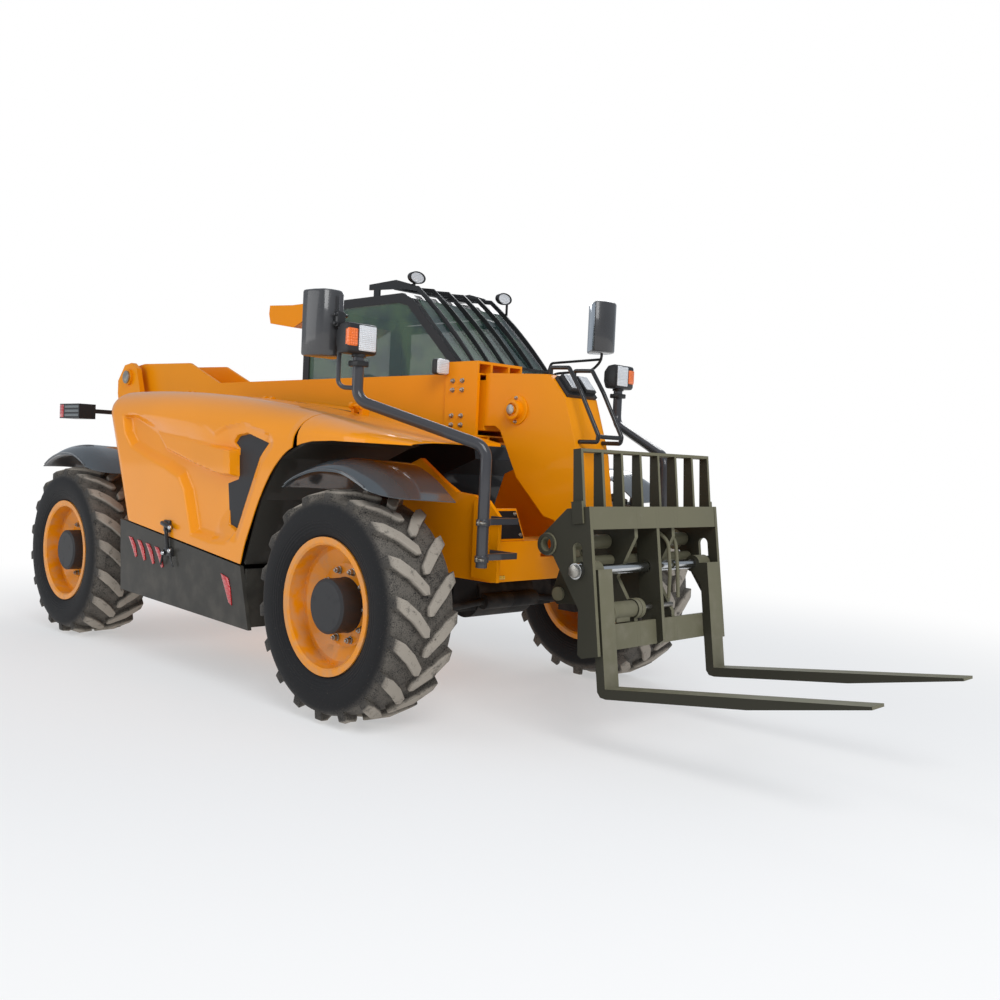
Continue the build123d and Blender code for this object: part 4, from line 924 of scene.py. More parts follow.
class TELEHANDLER_OT_wing(bpy.types.Operator):
    """The fixed wing over the right front wheel"""

    bl_idname = "telehandler.wing"
    bl_label = "Front wing"

    def execute(self, context):
        wall = context.scene.telehandler_sizes.panel
        wing = sheet_of("wing_skin", 90, 70, wing_point, (0, -0.3, 1), wall)
        dress(wing, "hood_enamel", BODY_OF["front_wing"], "front_wing")
        return {"FINISHED"}


class TELEHANDLER_OT_latch(bpy.types.Operator):
    """A sprung toggle between the hood and the skirt"""

    bl_idname = "telehandler.latch"
    bl_label = "Hood latch"

    def execute(self, context):
        y = POD_OUT - 0.0165
        pieces = [
            block("latch_plate", (-1.56, y + 0.002, 0.79), (-1.49, y + 0.02, 0.86), 0.006),
            rod("latch_arm", at(-1.525, y, 0.83), at(-1.5, y, 0.7), 0.011),
            rod("latch_ball", at(-1.56, y - 0.006, 0.842), at(-1.45, y - 0.006, 0.82), 0.014, 0.006),
            block("latch_foot", (-1.545, y, 0.655), (-1.455, y + 0.02, 0.705), 0.008),
        ]
        for x, lean in ((-1.54, -1), (-1.46, 1)):
            route = [at(x, y, 0.69), at(x + 0.01 * lean, y - 0.004, 0.64), at(x + 0.03 * lean, y, 0.6)]
            pieces.append(pipe("latch_loop", route, 0.006))
        dress(join("hood_latch", pieces), "black_steel", "chassis")
        places = [at(-1.455, y - 0.012, 0.822), at(-1.455, y - 0.01, 0.69), at(-1.53, y - 0.01, 0.67)]
        domes = [ball("dome", place, 0.013, 20, 12) for place in places]
        dress(join("latch_domes", domes), "chrome", "chassis")
        return {"FINISHED"}


class TELEHANDLER_OT_reflectors(bpy.types.Operator):
    """Slanted red reflectors along the skirt"""

    bl_idname = "telehandler.reflectors"
    bl_label = "Reflectors"

    def execute(self, context):
        slant = [(0, 0), (0.045, -0.004), (0.085, -0.045), (0.112, -0.112), (0.092, -0.12), (0.05, -0.06)]
        front = [
            (-0.935, 0.618), (-0.862, 0.6), (-0.835, 0.545), (-0.815, 0.458), (-0.848, 0.472),
            (-0.885, 0.535),
        ]
        outlines = []
        for number in range(4):
            x, z = -2.0 + number * 0.108, 0.728 - number * 0.0105
            outlines.append([(x + ahead, z + up) for ahead, up in slant])
        outlines.append(front)
        made = [plate("reflector", outline, POD_OUT - 0.006, POD_OUT + 0.001, 0.0025) for outline in outlines]
        dress(join("skirt_reflectors", made), "red", "chassis")
        return {"FINISHED"}


# --- mudguards --------------------------------------------------------------------------------
GUARD_LIP = [(-0.397, 1.108), (-0.3, 1.15), (-0.17, 1.186), (-0.038, 1.197), (0.1, 1.186), (0.27, 1.124)]
GUARD_RIDGE = [
    (-0.397, 1.11), (-0.27, 1.2), (-0.13, 1.25), (0.0, 1.27), (0.13, 1.258), (0.28, 1.195), (0.428, 1.094),
]
CROWN_END = 0.55                        # b where the rounded lip ends
GUARD_OUT, GUARD_ROUND, GUARD_FLAT = 1.121, 0.14, 0.275


def guard_point(a, b, axle, side):
    """A mudguard: b runs from the drooping outer lip over the ridge to the inner edge."""
    lip_x, lip_z = curve_at(GUARD_LIP, a)
    ridge_x, ridge_z = curve_at(GUARD_RIDGE, a)
    turn = min(1.0, b / CROWN_END) * math.pi / 2
    inward = held((b - CROWN_END) / (1 - CROWN_END))
    share = math.sin(turn)
    y = GUARD_OUT - GUARD_ROUND * (1 - math.cos(turn)) - GUARD_FLAT * inward
    x = lip_x + (ridge_x - lip_x) * share
    z = lip_z + (ridge_z - lip_z) * share - 0.012 * inward
    return Vector((axle + x, side * y, z))


def mudguard(axle, side):
    """One guard's shell, with the bead along its lip and its stay."""
    shell = sheet_of(
        "guard", 72, 30, lambda a, b: guard_point(a, b, axle, side), (0, side * 0.2, 1), 0.005
    )
    lift = Vector((0, side * 0.002, 0.001))
    bead = [guard_point(0.06 + 0.88 * step / 14, 0.06, axle, side) + lift for step in range(15)]
    low, high = sorted((side * 0.7, side * 0.93))
    stay = world_block("guard_stay", (axle - 0.02, low, 1.19), (axle + 0.06, high, 1.24))
    return [shell, pipe("guard_bead", bead, 0.004, 0.01, 2), stay]


class TELEHANDLER_OT_mudguards(bpy.types.Operator):
    """Four crowned mudguards with their stays"""

    bl_idname = "telehandler.mudguards"
    bl_label = "Mudguards"

    def execute(self, context):
        for place, axle in AXLES.items():
            made = [piece for side in SIDES.values() for piece in mudguard(axle, side)]
            node = f"{place}_fenders"
            dress(join(f"{place}_mudguards", made), "gloss", BODY_OF[node], node)
        return {"FINISHED"}


# --- lamps and mirrors ------------------------------------------------------------------------
HEADLAMP = [
    (-0.034, 1.8), (-0.018, 1.757), (0.058, 1.7565), (0.0665, 1.772), (0.0665, 1.892), (0.05, 1.904),
    (-0.004, 1.897), (-0.034, 1.86),
]
TUBE_TOP = (0.024, 1.0)                 # x and y of a lamp tube's upright top
MIRROR = [                              # x, then the distance in from the mirror's outer edge
    (-0.2245, 0), (-0.2245, 0.2), (-0.15, 0.19), (-0.092, 0.15), (-0.0725, 0.118), (-0.0725, 0.078),
    (-0.092, 0.03), (-0.15, 0.008),
]
MIRROR_OUT = 1.1625
MIRRORS = [(-1, 0.0, 1.745, 2.065), (1, 0.07, 1.99, 2.31)]        # side, how far back, low and high
HOOPS = [                               # route, then corner radius
    ([(-0.656, 1.097, 1.858), (-0.64, 1.12, 1.95), (-0.215, 1.12, 1.96)], 0.02),
    ([(-0.656, 1.097, 1.838), (-0.6, 1.12, 1.88), (-0.29, 1.12, 1.89), (-0.215, 1.12, 1.95),
      (-0.215, 1.12, 2.1)], 0.04),
]
ROOF_LAMPS = [(-1.18, 0.35, 2.44), (-0.99, 0.965, 2.376)]
ROOF_LAMP_RIM = [
    (0.0, 0.001), (0.0, 0.045), (0.014, 0.064), (0.042, 0.068), (0.0445, 0.066), (0.0445, 0.058),
    (0.036, 0.056), (0.036, 0.001),
]
ROOF_LAMP_GLASS = [(0.03, 0.001), (0.03, 0.057), (0.038, 0.056), (0.0435, 0.03), (0.0445, 0.001)]


class TELEHANDLER_OT_headlamps(bpy.types.Operator):
    """Clear and amber lenses in black housings on the tubes' tops, and the lamp at the boom's flange"""

    bl_idname = "telehandler.headlamps"
    bl_label = "Headlamps"

    def execute(self, context):
        shells, clear, amber = [], [], []
        x, y = TUBE_TOP
        for side in SIDES.values():
            shells.append(plate("shell", HEADLAMP, *sorted((side * 0.923, side * 1.097)), 0.012))
            low, high = sorted((side * 0.932, side * 1.036))
            clear.append(block("lens", (0.056, low, 1.772), (0.0715, high, 1.893), 0.014))
            low, high = sorted((side * 1.041, side * 1.0975))
            amber.append(block("lens", (0.038, low, 1.79), (0.0708, high, 1.876), 0.008))
            shells.append(rod("neck", at(x, side * y, 1.745), at(x, side * y, 1.762), 0.034))
            near, far = (x - 0.036, side * y - 0.036, 1.7), (x + 0.036, side * y + 0.036, 1.728)
            shells.append(block("clamp", near, far, 0.006))
        shells.append(block("work", (-0.299, -0.251, 1.742), (-0.254, -0.173, 1.829), 0.014))
        clear.append(block("work_lens", (-0.258, -0.2515, 1.744), (-0.2305, -0.1725, 1.8285), 0.013))
        dress(join("headlamp_shells", shells), "plastic", "chassis", "lamps")
        dress(join("headlamp_lenses", clear), "clear", "chassis")
        dress(join("indicator_lenses", amber), "amber", "chassis")
        return {"FINISHED"}


class TELEHANDLER_OT_mirrors(bpy.types.Operator):
    """Deep mirror shells with tapering backs, their glasses, a clamp and the left one's hoops"""

    bl_idname = "telehandler.mirrors"
    bl_label = "Mirrors"

    def execute(self, context):
        shells, glasses = [], []
        for side, back, low, high in MIRRORS:
            outline = [(x - back, side * (MIRROR_OUT - inward)) for x, inward in MIRROR]
            shells.append(plate("shell", outline, low + 0.001, high - 0.001, 0.013, view="plan"))
            a, b = sorted((side * 1.15, side * 0.976))
            near, far = (-0.2252 - back, a, low + 0.016), (-0.2215 - back, b, high - 0.016)
            glasses.append(block("glass", near, far, 0.001))
        # the left one is turned towards the driver
        pivot = Matrix.Translation(at(-0.235, 1.12, 0))
        turn = pivot @ Matrix.Rotation(math.radians(52), 4, "Z") @ pivot.inverted()
        for piece in (shells[-1], glasses[-1]):
            piece.data.transform(Matrix.Translation((0, -0.022, 0)) @ turn)
        fittings = [block("clamp", (-0.085, -1.086, 1.885), (-0.036, -1.038, 1.958), 0.007)]
        for z in (1.9, 1.942):
            fittings.append(rod("clamp_pin", at(-0.05, -1.1, z), at(-0.05, -1.02, z), 0.008))
        fittings.append(block("hoop_pad", (-0.678, 1.0862, 1.828), (-0.634, 1.099, 1.868), 0.004))
        for route, corner in HOOPS:
            fittings.append(pipe("hoop", [at(*point) for point in route], 0.009, corner, 3))
        dress(join("mirror_shells", shells), "shell", "chassis", "mirrors")
        dress(join("mirror_fittings", fittings), "black_steel", "chassis")
        dress(join("mirror_glasses", glasses), "mirror", "chassis")
        return {"FINISHED"}


class TELEHANDLER_OT_roof_lamps(bpy.types.Operator):
    """Oval lamps on stems over the roof's front"""

    bl_idname = "telehandler.roof_lamps"
    bl_label = "Roof lamps"

    def execute(self, context):
        shells, lenses = [], []
        for place in ROOF_LAMPS:
            middle = at(*place)
            flatten = Matrix.Diagonal((1, 1, 0.585, 1))
            squash = Matrix.Translation(middle) @ flatten @ Matrix.Translation(-middle)
            for parts, section in ((shells, ROOF_LAMP_RIM), (lenses, ROOF_LAMP_GLASS)):
                piece = turned("oval", section, middle, (1, 0, 0), (0, 0, 1), 48)
                piece.data.transform(squash)
                parts.append(soften(piece, 0))
        shells.append(block("stem", (-1.2, 0.345, 2.386), (-1.165, 0.356, 2.404)))
        shells.append(rod("stem", at(-1.172, 0.35, 2.39), at(-1.172, 0.35, 2.42), 0.01))
        shells.append(block("stem", (-0.985, 1.0115, 2.27), (-0.967, 1.02, 2.376)))
        dress(join("roof_lamp_shells", shells), "plastic", "chassis")
        dress(join("roof_lamp_lenses", lenses), "clear", "chassis")
        return {"FINISHED"}


class TELEHANDLER_OT_beacon(bpy.types.Operator):
    """A round amber dome on a black foot"""

    bl_idname = "telehandler.beacon"
    bl_label = "Beacon"

    def execute(self, context):
        low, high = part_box("beacon")
        middle = Vector(((low[0] + high[0]) / 2, (low[1] + high[1]) / 2, low[2]))
        foot_top, radius, bend = 0.03, 0.047, 0.8
        foot = [(0.0, 0.001), (0.0, 0.058), (0.012, 0.058), (0.028, 0.05), (foot_top, 0.001)]
        dome = [(foot_top, 0.001), (foot_top, radius)]
        for step in range(9):
            f = step / 8
            if f < bend:
                r = radius * (1 - 0.25 * f)
            else:
                r = radius * bend * math.sqrt(max(0.0, 1 - ((f - bend) / (1 - bend)) ** 2)) + 0.0005
            dome.append((foot_top + (high[2] - low[2] - 0.032) * f, r))
        for name, section, finish, nodes in (
            ("beacon_foot", foot, "plastic", []), ("beacon_dome", dome, "amber", ["beacon"]),
        ):
            piece = soften(turned(name, section, middle, (0, 0, 1), (1, 0, 0), 64), 0)
            dress(piece, finish, "chassis", *nodes)
        return {"FINISHED"}


class TELEHANDLER_OT_tail_lamps(bpy.types.Operator):
    """Red and amber lenses on the rear lamp bars, with pale ribs along their sides"""

    bl_idname = "telehandler.tail_lamps"
    bl_label = "Tail lamps"

    def execute(self, context):
        red, amber, ribs = [], [], []
        face, base = -3.6148, -3.606
        for side in SIDES.values():
            y0, y1 = sorted((side * 0.79, side * 0.87))
            middle = (y0 + y1) / 2
            red.append(block("lens", (face, y0, 1.47), (base, middle, 1.54)))
            amber.append(block("lens", (face, middle + 0.003, 1.47), (base, y1, 1.54)))
            low, high = sorted((side * 0.886, side * 0.892))
            red.append(block("side_lens", (-3.612, low, 1.458), (-3.55, high, 1.55)))
            for z in (1.466, 1.496, 1.526):
                ribs.append(block("rib", (-3.53, low, z), (-3.3, high, z + 0.018)))
        dress(join("tail_red", red), "red", "chassis")
        dress(join("tail_amber", amber), "amber", "chassis")
        dress(join("lamp_bar_ribs", ribs), "grey", "chassis")
        return {"FINISHED"}


# --- boom, carriage and frame fittings --------------------------------------------------------
LEAN = math.radians(7.7)                # how far the fork frame leans back at rest
HEEL = (1.19, 0.308)
PIVOT_CAP = (-3.878, 1.812)             # the caps over the boom's rear pivot
TILT_PIN = (0.245, 1.554)               # the tilt cylinder's base pin in the boom's head
HITCH, SHAFT = (-0.262, 0.649), (-0.088, 0.52)        # on the fork frame: a forwards, b up
LOCK = (-0.075, 0.33)
BROW = [(0.5235, 1.7335), (0.5845, 1.6655), (0.5885, 1.669), (0.5275, 1.737)]
COVER_BACK = [(0.392, 0.886), (0.402, 0.886), (0.332, 1.045), (0.322, 1.045)]
COVER = [(0.398, 0.897), (0.403, 0.899), (0.343, 1.034), (0.338, 1.032)]
TUBE_X, TUBE_CLAMPS = 0.61, (0.83, 0.998)
DECK_EDGE = -0.645
DECK = [(-2.36, 1.614), (-1.0, 1.5655), (-0.3, 1.49)]


def on_frame(a, y, b):
    """A place on the fork frame: a forwards along the blades, b up the shanks."""
    c, s = math.cos(LEAN), math.sin(LEAN)
    return at(HEEL[0] + a * c - b * s, y, HEEL[1] + a * s + b * c)


def cross_bar(name, spot, y_start, y_end, radius, *shape):
    """A bar across the fork frame, through a spot of its side view."""
    a, b = spot
    return rod(name, on_frame(a, y_start, b), on_frame(a, y_end, b), radius, *shape)


class TELEHANDLER_OT_boom_fittings(bpy.types.Operator):
    """Flange bolts, the head's pin bosses and brow lenses, and the caps of the boom's pivot"""

    bl_idname = "telehandler.boom_fittings"
    bl_label = "Boom fittings"

    def execute(self, context):
        x, z = TILT_PIN
        for hand, side in SIDES.items():
            rows, heights = (-0.2, -0.125), (1.47, 1.52, 1.66, 1.71)
            spots = [at(ahead, side * 0.172, up) for ahead in rows for up in heights]
            bolts(f"flange_bolts_{hand}", spots, (0, side, 0), 0.011, 0.014, "boom")
            collar = ring(f"tilt_boss_{hand}", at(x, side * 0.1602, z), at(x, side * 0.1682, z), 0.052, 0.034)
            dress(collar, "enamel", "inner_boom")
            pin = rod(f"tilt_pin_end_{hand}", at(x, side * 0.1752, z), at(x, side * 0.1792, z), 0.026, 0.0015)
            dress(pin, "zinc", "inner_boom")
            flange = rod(f"boss_flange_{hand}", at(x, side * 0.1252, z), at(x, side * 0.133, z), 0.078, 0.003)
            dress(flange, "enamel", "inner_boom")
            keep = [at(x, side * 0.133, z + up) for up in (-0.062, 0.062)]
            bolts(f"keeper_bolts_{hand}", keep, (0, side, 0), 0.008, 0.01, "inner_boom")
            brow = plate(f"brow_lens_{hand}", BROW, *sorted((side * 0.027, side * 0.089)), 0.0015)
            dress(brow, "clear", "inner_boom")
            inner, outer = [at(PIVOT_CAP[0], side * y, PIVOT_CAP[1]) for y in (0.262, 0.274)]
            cap = rod(f"pivot_cap_{hand}", inner, outer, 0.03, 0.003)
            dress(cap, "zinc", "chassis")
        return {"FINISHED"}


class TELEHANDLER_OT_carriage_fittings(bpy.types.Operator):
    """Cross tubes, the fork lock's cylinder with its two lines, shaft nuts and the hitch rings"""

    bl_idname = "telehandler.carriage_fittings"
    bl_label = "Carriage fittings"

    def execute(self, context):
        tubes = [
            cross_bar("tube", (-0.2, 0.65), -0.478, 0.478, 0.034),
            cross_bar("tube", (-0.182, 0.56), -0.478, 0.478, 0.026),
        ]
        for y in (-0.36, -0.33, -0.15, -0.12):
            tubes.append(cross_bar("collar", LOCK, y - 0.012, y + 0.012, 0.048))
        tubes.append(cross_bar("lock", LOCK, -0.37, -0.1, 0.04))
        near, far = on_frame(-0.1, -0.3, 0.28), on_frame(-0.05, -0.2, 0.32)
        tubes.append(world_block("lock_foot", near, far))
        dress(join("carriage_tubes", tubes), "olive", "carriage")
        rods = [cross_bar("rod", LOCK, -0.1, 0.16, 0.013)]
        rings = []
        for side in SIDES.values():
            rods.append(cross_bar("shaft_nut", SHAFT, side * 0.5365, side * 0.55, 0.031, 0.002, 6))
        dress(join("carriage_rods", rods), "zinc", "carriage")
        lines = []
        for y, reach in ((0.12, 0.0), (0.2, 0.012)):
            route = [
                (-0.06, y, 0.36), (-0.04 - reach, y, 0.5), (-0.05 - reach, y + 0.01, 0.64),
                (-0.09, y - 0.02, 0.69),
            ]
            lines.append(pipe("line", [on_frame(*point) for point in route], 0.009))
        dress(join("carriage_lines", lines), "olive", "carriage")
        a, b = HITCH
        for side in SIDES.values():
            low, high = side * 0.5222, side * 0.528
            rings.append(ring("hitch_ring", on_frame(a, low, b), on_frame(a, high, b), 0.049, 0.034))
        # the rings lie beyond the hitch boss's outer face, so the olive finish's painted shade turns them
        # near black
        dress(join("hitch_rings", rings), "olive", "carriage")
        return {"FINISHED"}


class TELEHANDLER_OT_frame_fittings(bpy.types.Operator):
    """The cover plate with its bolts, a yellow marker and the lamp tubes' clamps"""

    bl_idname = "telehandler.frame_fittings"
    bl_label = "Frame fittings"

    def execute(self, context):
        dress(plate("cover_back", COVER_BACK, -0.428, -0.186), "enamel", "chassis")
        dress(plate("frame_cover", COVER, -0.412, -0.2, 0.0015), "chassis_black", "chassis")
        spots = [at(x, y, z) for y in (-0.395, -0.217) for x, z in ((0.396, 0.915), (0.35, 1.018))]
        bolts("cover_bolts", spots, (0.914, 0, 0.405), 0.008, 0.009, "chassis")
        marker = block("front_marker", (0.4105, -0.425, 0.697), (0.416, -0.335, 0.716), 0.002)
        dress(marker, "yellow", "chassis")
        clamps, spots = [], []
        for side in SIDES.values():
            for z in TUBE_CLAMPS:
                low, high = at(TUBE_X, side * 0.7, z - 0.016), at(TUBE_X, side * 0.7, z + 0.016)
                clamps.append(rod("clamp", low, high, 0.033, 0.003))
                spots.append(at(TUBE_X, side * 0.733, z))
        dress(join("tube_clamps", clamps), "dark_tube", "chassis")
        bolts("clamp_bolts", spots, (1, 0, 0), 0.009, 0.036, "chassis")
        return {"FINISHED"}


class TELEHANDLER_OT_tie_rods(bpy.types.Operator):
    """Tie rods with bright ball ends, ahead of the front axle and behind the rear one"""

    bl_idname = "telehandler.tie_rods"
    bl_label = "Tie rods"

    def execute(self, context):
        for place, axle_x in AXLES.items():
            x = axle_x + (0.13 if place == "front" else -0.13)
            bars, balls = [], []
            for side in SIDES.values():
                inner = Vector((x, side * 0.2, AXLE_Z - 0.02))
                outer = Vector((x, side * 0.56, AXLE_Z - 0.05))
                bars.append(rod("tie", inner, outer, 0.017))
                bars.append(rod("ram", Vector((x, 0, inner.z)), inner, 0.042))
                for centre, radius in ((outer, 0.027), (inner.lerp(outer, 0.82), 0.021)):
                    balls.append(ball("ball", centre, radius, 24, 14))
            dress(join(f"{place}_tie_rods", bars), "chassis_black", "chassis")
            dress(join(f"{place}_ball_joints", balls), "chrome", "chassis")
        return {"FINISHED"}


def strip(name, route, width, thickness):
    """A narrow flat seal laid along a route of places."""
    last = len(route) - 1
    made = fresh(name, bpy.ops.mesh.primitive_grid_add, x_subdivisions=last, y_subdivisions=1, size=1)
    for vertex in made.data.vertices:
        number = round((vertex.co.x + 0.5) * last)
        ahead = route[min(number + 1, last)] - route[max(number - 1, 0)]
        across = Vector((-ahead.y, ahead.x, 0)).normalized() * width / 2
        vertex.co = route[number] + across * (1 if vertex.co.y > 0 else -1)
    made.data.update()
    if made.data.polygons[0].normal.z < 0:
        made.data.flip_normals()
    modify(made, "SOLIDIFY", thickness=thickness, offset=-1)
    return soften(made, 0, angle=40)


class TELEHANDLER_OT_deck(bpy.types.Operator):
    """The seal along the deck's edge and the dark grille beside it"""

    bl_idname = "telehandler.deck"
    bl_label = "Deck"

    def execute(self, context):
        proud = 0.003
        places = [-2.3 + 0.1 * step for step in range(20)]
        route = [at(x, DECK_EDGE + 0.02, along(DECK, x) + proud) for x in places]
        dress(strip("deck_seal", route, 0.014, 0.003), "hose", "chassis")
        slats = []
        for number in range(26):
            x = -2.1 + number * 0.03
            z = along(DECK, x) + proud
            slats.append(block("slat", (x, -0.6, z), (x + 0.016, -0.42, z + 0.004), 0.001))
        dress(join("deck_grille", slats), "mesh", "chassis")
        return {"FINISHED"}


# --- seat -------------------------------------------------------------------------------------
CLOTH_VOXEL, CLOTH_FRAMES, CLOTH_REACH = 0.006, 20, 0.022


def swell(piece, low, high):
    """Pumps a pad up as cloth, each point held within the pad's own room."""
    piece.data.remesh_voxel_size = CLOTH_VOXEL
    select(piece)
    bpy.ops.object.voxel_remesh()
    before = [vertex.co.copy() for vertex in piece.data.vertices]
    cloth = piece.modifiers.new("cloth", "CLOTH")
    cloth.settings.use_pressure = True
    cloth.settings.uniform_pressure_force = 4.0
    cloth.settings.effector_weights.gravity = 0.0
    scene = bpy.context.scene
    for step in range(1, CLOTH_FRAMES + 1):
        scene.frame_set(step)
    moved = piece.evaluated_get(bpy.context.evaluated_depsgraph_get()).data
    after = [vertex.co.copy() for vertex in moved.vertices]
    piece.modifiers.remove(cloth)
    scene.frame_set(1)
    for vertex, start, end in zip(piece.data.vertices, before, after):
        step = end - start
        if step.length > CLOTH_REACH:
            step = step.normalized() * CLOTH_REACH
        place = start + step
        vertex.co = [min(max(place[k], low[k]), high[k]) for k in range(3)]
    modify(piece, "SUBSURF", levels=1, render_levels=1)


def cushion(name, low, high):
    """A crowned pad with pinched corners, swollen by a short run of cloth."""
    low, high = Vector(low), Vector(high)
    piece = fresh(name, bpy.ops.mesh.primitive_cube_add, size=1, location=(low + high) / 2)
    piece.scale = (high - low) * 0.94
    settle(piece)
    edit(bpy.ops.mesh.subdivide, number_cuts=5)
    modify(piece, "SUBSURF", levels=2, render_levels=2)
    swell(piece, low, high)
    return soften(piece, 0, angle=60)


class TELEHANDLER_OT_seat(bpy.types.Operator):
    """The seat's two cushions and their pan"""

    bl_idname = "telehandler.seat"
    bl_label = "Seat"

    def execute(self, context):
        low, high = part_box("seat")
        foot, middle_y = high[2] - 0.72, (low[1] + high[1]) / 2
        base_low = (low[0] + 0.095, low[1] + 0.015, foot + 0.012)
        base = cushion("seat_base", base_low, (high[0] - 0.015, high[1] - 0.015, foot + 0.1))
        back_low = (low[0] + 0.09, low[1] + 0.035, foot + 0.13)
        back = cushion("seat_back", back_low, (low[0] + 0.165, high[1] - 0.035, high[2] - 0.02))
        for vertex in back.data.vertices:
            vertex.co.x -= (vertex.co.z - foot - 0.11) * 0.125
        pan_low = (low[0] + 0.14, middle_y - 0.16, low[2] + 0.002)
        pan = world_block("seat_pan", pan_low, (high[0] - 0.08, middle_y + 0.16, foot - 0.004), 0.02)
        dress(pan, "plastic", "chassis")
        for piece, nodes in ((base, ["seat"]), (back, [])):
            dress(piece, "seat", "chassis", *nodes)
        return {"FINISHED"}


# --- finishes of the frame's own nodes --------------------------------------------------------
NODE_FINISH = {
    "enamel": [
        "main_frame", "frame_rails", "boom_tower", "outer_boom", "inner_boom", "boom_head", "lift_barrel",
        "hood_deck", "roof_cap",
    ],
    "zinc": ["boom_pin"],
    "chassis_black": ["front_axle", "rear_axle", "engine_block"],
    "black_steel": ["head_guard", "cab_frame", "roof_guard", "door_frame"],
    "chrome": ["lift_rod", "tilt_rod", "fork_shaft"],
    "olive": ["tilt_barrel", "carriage_frame"],
    "guard_olive": ["load_guard"],
    "fork_olive": ["forks"],
    "graphite": ["arch_liner", "side_skirt", "side_tank"],
    "window": ["cab_glass", "door_glass"],
    "dark_tube": ["lamp_tubes"],
}


def finish_of(node):
    """The finish of a node of the frame: the table's, a wheel's by its axle, or else plastic."""
    for finish, nodes in NODE_FINISH.items():
        if node in nodes:
            return finish
    if node.endswith("_rim"):
        return "rim_" + node.split("_")[0]
    return "chassis_black" if node.endswith("_knuckle") else "plastic"


class TELEHANDLER_OT_coats(bpy.types.Operator):
    """Every finish, and the finish of each node of the frame"""

    bl_idname = "telehandler.coats"
    bl_label = "Coats"

    def execute(self, context):
        mix_finishes()
        for node, piece in frame["nodes"].items():
            piece.data.materials.clear()
            piece.data.materials.append(FINISH[finish_of(node)])
        return {"FINISHED"}


# --- stage ------------------------------------------------------------------------------------
CAMERA = (3.970, -4.054, 1.2825)
YAW, PITCH, ROLL = 2.3449, -0.0367, 0.0456
LENS, SHIFT = 37.3, (0.0031, -0.0007)
LAMPS = [                               # name, place, size, share of the lamp power
    ("key", (6.5, -3.5, 6.0), 4.0, 1.0),
    ("fill", (-3.5, -7.5, 3.5), 5.0, 0.38),
    ("back", (-4.0, 6.0, 5.5), 4.0, 0.5),
]
AIM = Vector((0, 0, 0.9))


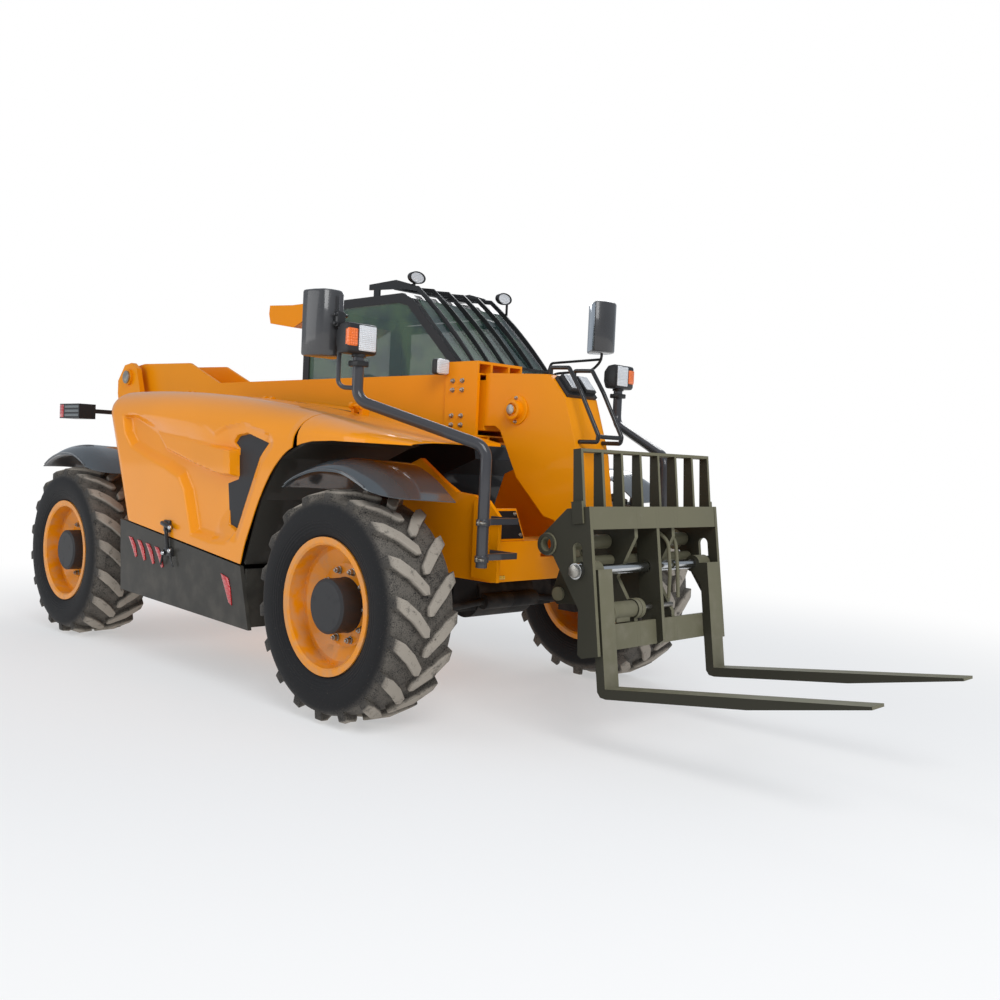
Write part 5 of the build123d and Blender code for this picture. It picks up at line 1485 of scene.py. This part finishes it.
class TELEHANDLER_OT_stage(bpy.types.Operator):
    """The floor, the soft lamps, the sky and the camera"""

    bl_idname = "telehandler.stage"
    bl_label = "Stage"

    def execute(self, context):
        scene = context.scene
        scene.view_settings.view_transform = "Standard"
        self.floor((*scene.telehandler_colours.floor, 1))
        self.sky(scene)
        for name, place, size, share in LAMPS:
            bpy.ops.object.light_add(type="AREA", location=place)
            lamp = context.object
            lamp.name, lamp.data.size = name, size
            lamp.data.energy = scene.telehandler_sizes.lamp_power * share
            lamp.rotation_euler = (AIM - lamp.location).to_track_quat("-Z", "Y").to_euler()
        self.camera(scene)
        return {"FINISHED"}

    def floor(self, tone):
        """A pale floor that fades to plain white, with the object's shadow kept."""
        floor = fresh("floor", bpy.ops.mesh.primitive_plane_add, size=120, location=(0, 0, -0.001))
        board = Finish("floor")
        glow = board.node("ShaderNodeEmission", {}, {"Color": (1, 1, 1, 1), "Strength": 1.0})
        dull = board.node("ShaderNodeBsdfDiffuse", {}, {"Color": tone})
        reach = (board.x * board.x + board.y * board.y).root()
        fade = board.mask(reach, 2.2, 6.5) * 0.55 + 0.45
        mixed = board.node("ShaderNodeMixShader", {}, {0: fade, 1: dull, 2: glow})
        floor.data.materials.append(board.close(mixed))

    def sky(self, scene):
        """A soft sky on the object, and plain white behind it."""
        scene.world = bpy.data.worlds.new("sky")
        scene.world.use_nodes = True
        board = Board(scene.world.node_tree)
        soft = board.node("ShaderNodeBackground", {}, {"Color": (0.82, 0.9, 1.0, 1), "Strength": 0.5})
        plain = board.node("ShaderNodeBackground", {}, {"Color": (1, 1, 1, 1), "Strength": 1.0})
        camera = board.node("ShaderNodeLightPath", output="Is Camera Ray")
        through = Value(board, camera.socket.node.outputs["Is Transmission Ray"])
        seen = camera.maths("MAXIMUM", camera, through)
        mixed = board.node("ShaderNodeMixShader", {}, {0: seen, 1: soft, 2: plain})
        board.node("ShaderNodeOutputWorld", {}, {"Surface": mixed})

    def camera(self, scene):
        """The camera, at eye height off the machine's right front."""
        ahead = Vector((math.cos(PITCH) * math.cos(YAW), math.cos(PITCH) * math.sin(YAW), math.sin(PITCH)))
        right = ahead.cross(Vector((0, 0, 1))).normalized()
        up = right.cross(ahead)
        across = right * math.cos(ROLL) + up * math.sin(ROLL)
        upright = up * math.cos(ROLL) - right * math.sin(ROLL)
        turn = Matrix((across, upright, -ahead)).transposed().to_4x4()
        bpy.ops.object.camera_add()
        camera = bpy.context.object
        camera.matrix_world = Matrix.Translation(at(*CAMERA)) @ turn
        camera.data.lens, camera.data.sensor_width = LENS, 36
        camera.data.shift_x, camera.data.shift_y = SHIFT
        scene.camera = camera


OPERATORS = (
    TELEHANDLER_OT_coats, TELEHANDLER_OT_wheels, TELEHANDLER_OT_hood, TELEHANDLER_OT_wing,
    TELEHANDLER_OT_latch, TELEHANDLER_OT_reflectors, TELEHANDLER_OT_mudguards, TELEHANDLER_OT_headlamps,
    TELEHANDLER_OT_mirrors, TELEHANDLER_OT_roof_lamps, TELEHANDLER_OT_beacon, TELEHANDLER_OT_tail_lamps,
    TELEHANDLER_OT_boom_fittings, TELEHANDLER_OT_carriage_fittings, TELEHANDLER_OT_frame_fittings,
    TELEHANDLER_OT_tie_rods, TELEHANDLER_OT_deck, TELEHANDLER_OT_seat, TELEHANDLER_OT_stage,
)


class TELEHANDLER_PT_panel(bpy.types.Panel):
    """The machine's sizes, colours and groups"""

    bl_idname = "TELEHANDLER_PT_panel"
    bl_label = "Telehandler"
    bl_space_type = "VIEW_3D"
    bl_region_type = "UI"
    bl_category = "Telehandler"

    def draw(self, context):
        for group in (context.scene.telehandler_colours, context.scene.telehandler_sizes):
            for key in group.__annotations__:
                self.layout.prop(group, key)
        for operator in OPERATORS:
            self.layout.operator(operator.bl_idname)


CLASSES = (TelehandlerColours, TelehandlerSizes, *OPERATORS, TELEHANDLER_PT_panel)


def register():
    """Makes the add-on's classes and scene properties known."""
    for item in CLASSES:
        bpy.utils.register_class(item)
    bpy.types.Scene.telehandler_colours = PointerProperty(type=TelehandlerColours)
    bpy.types.Scene.telehandler_sizes = PointerProperty(type=TelehandlerSizes)


def unregister():
    """Takes them away again."""
    del bpy.types.Scene.telehandler_colours
    del bpy.types.Scene.telehandler_sizes
    for item in reversed(CLASSES):
        bpy.utils.unregister_class(item)


def main():
    """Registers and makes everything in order."""
    register()
    for operator in OPERATORS:
        group, name = operator.bl_idname.split(".")
        getattr(getattr(bpy.ops, group), name)()


if __name__ == "__main__":
    main()
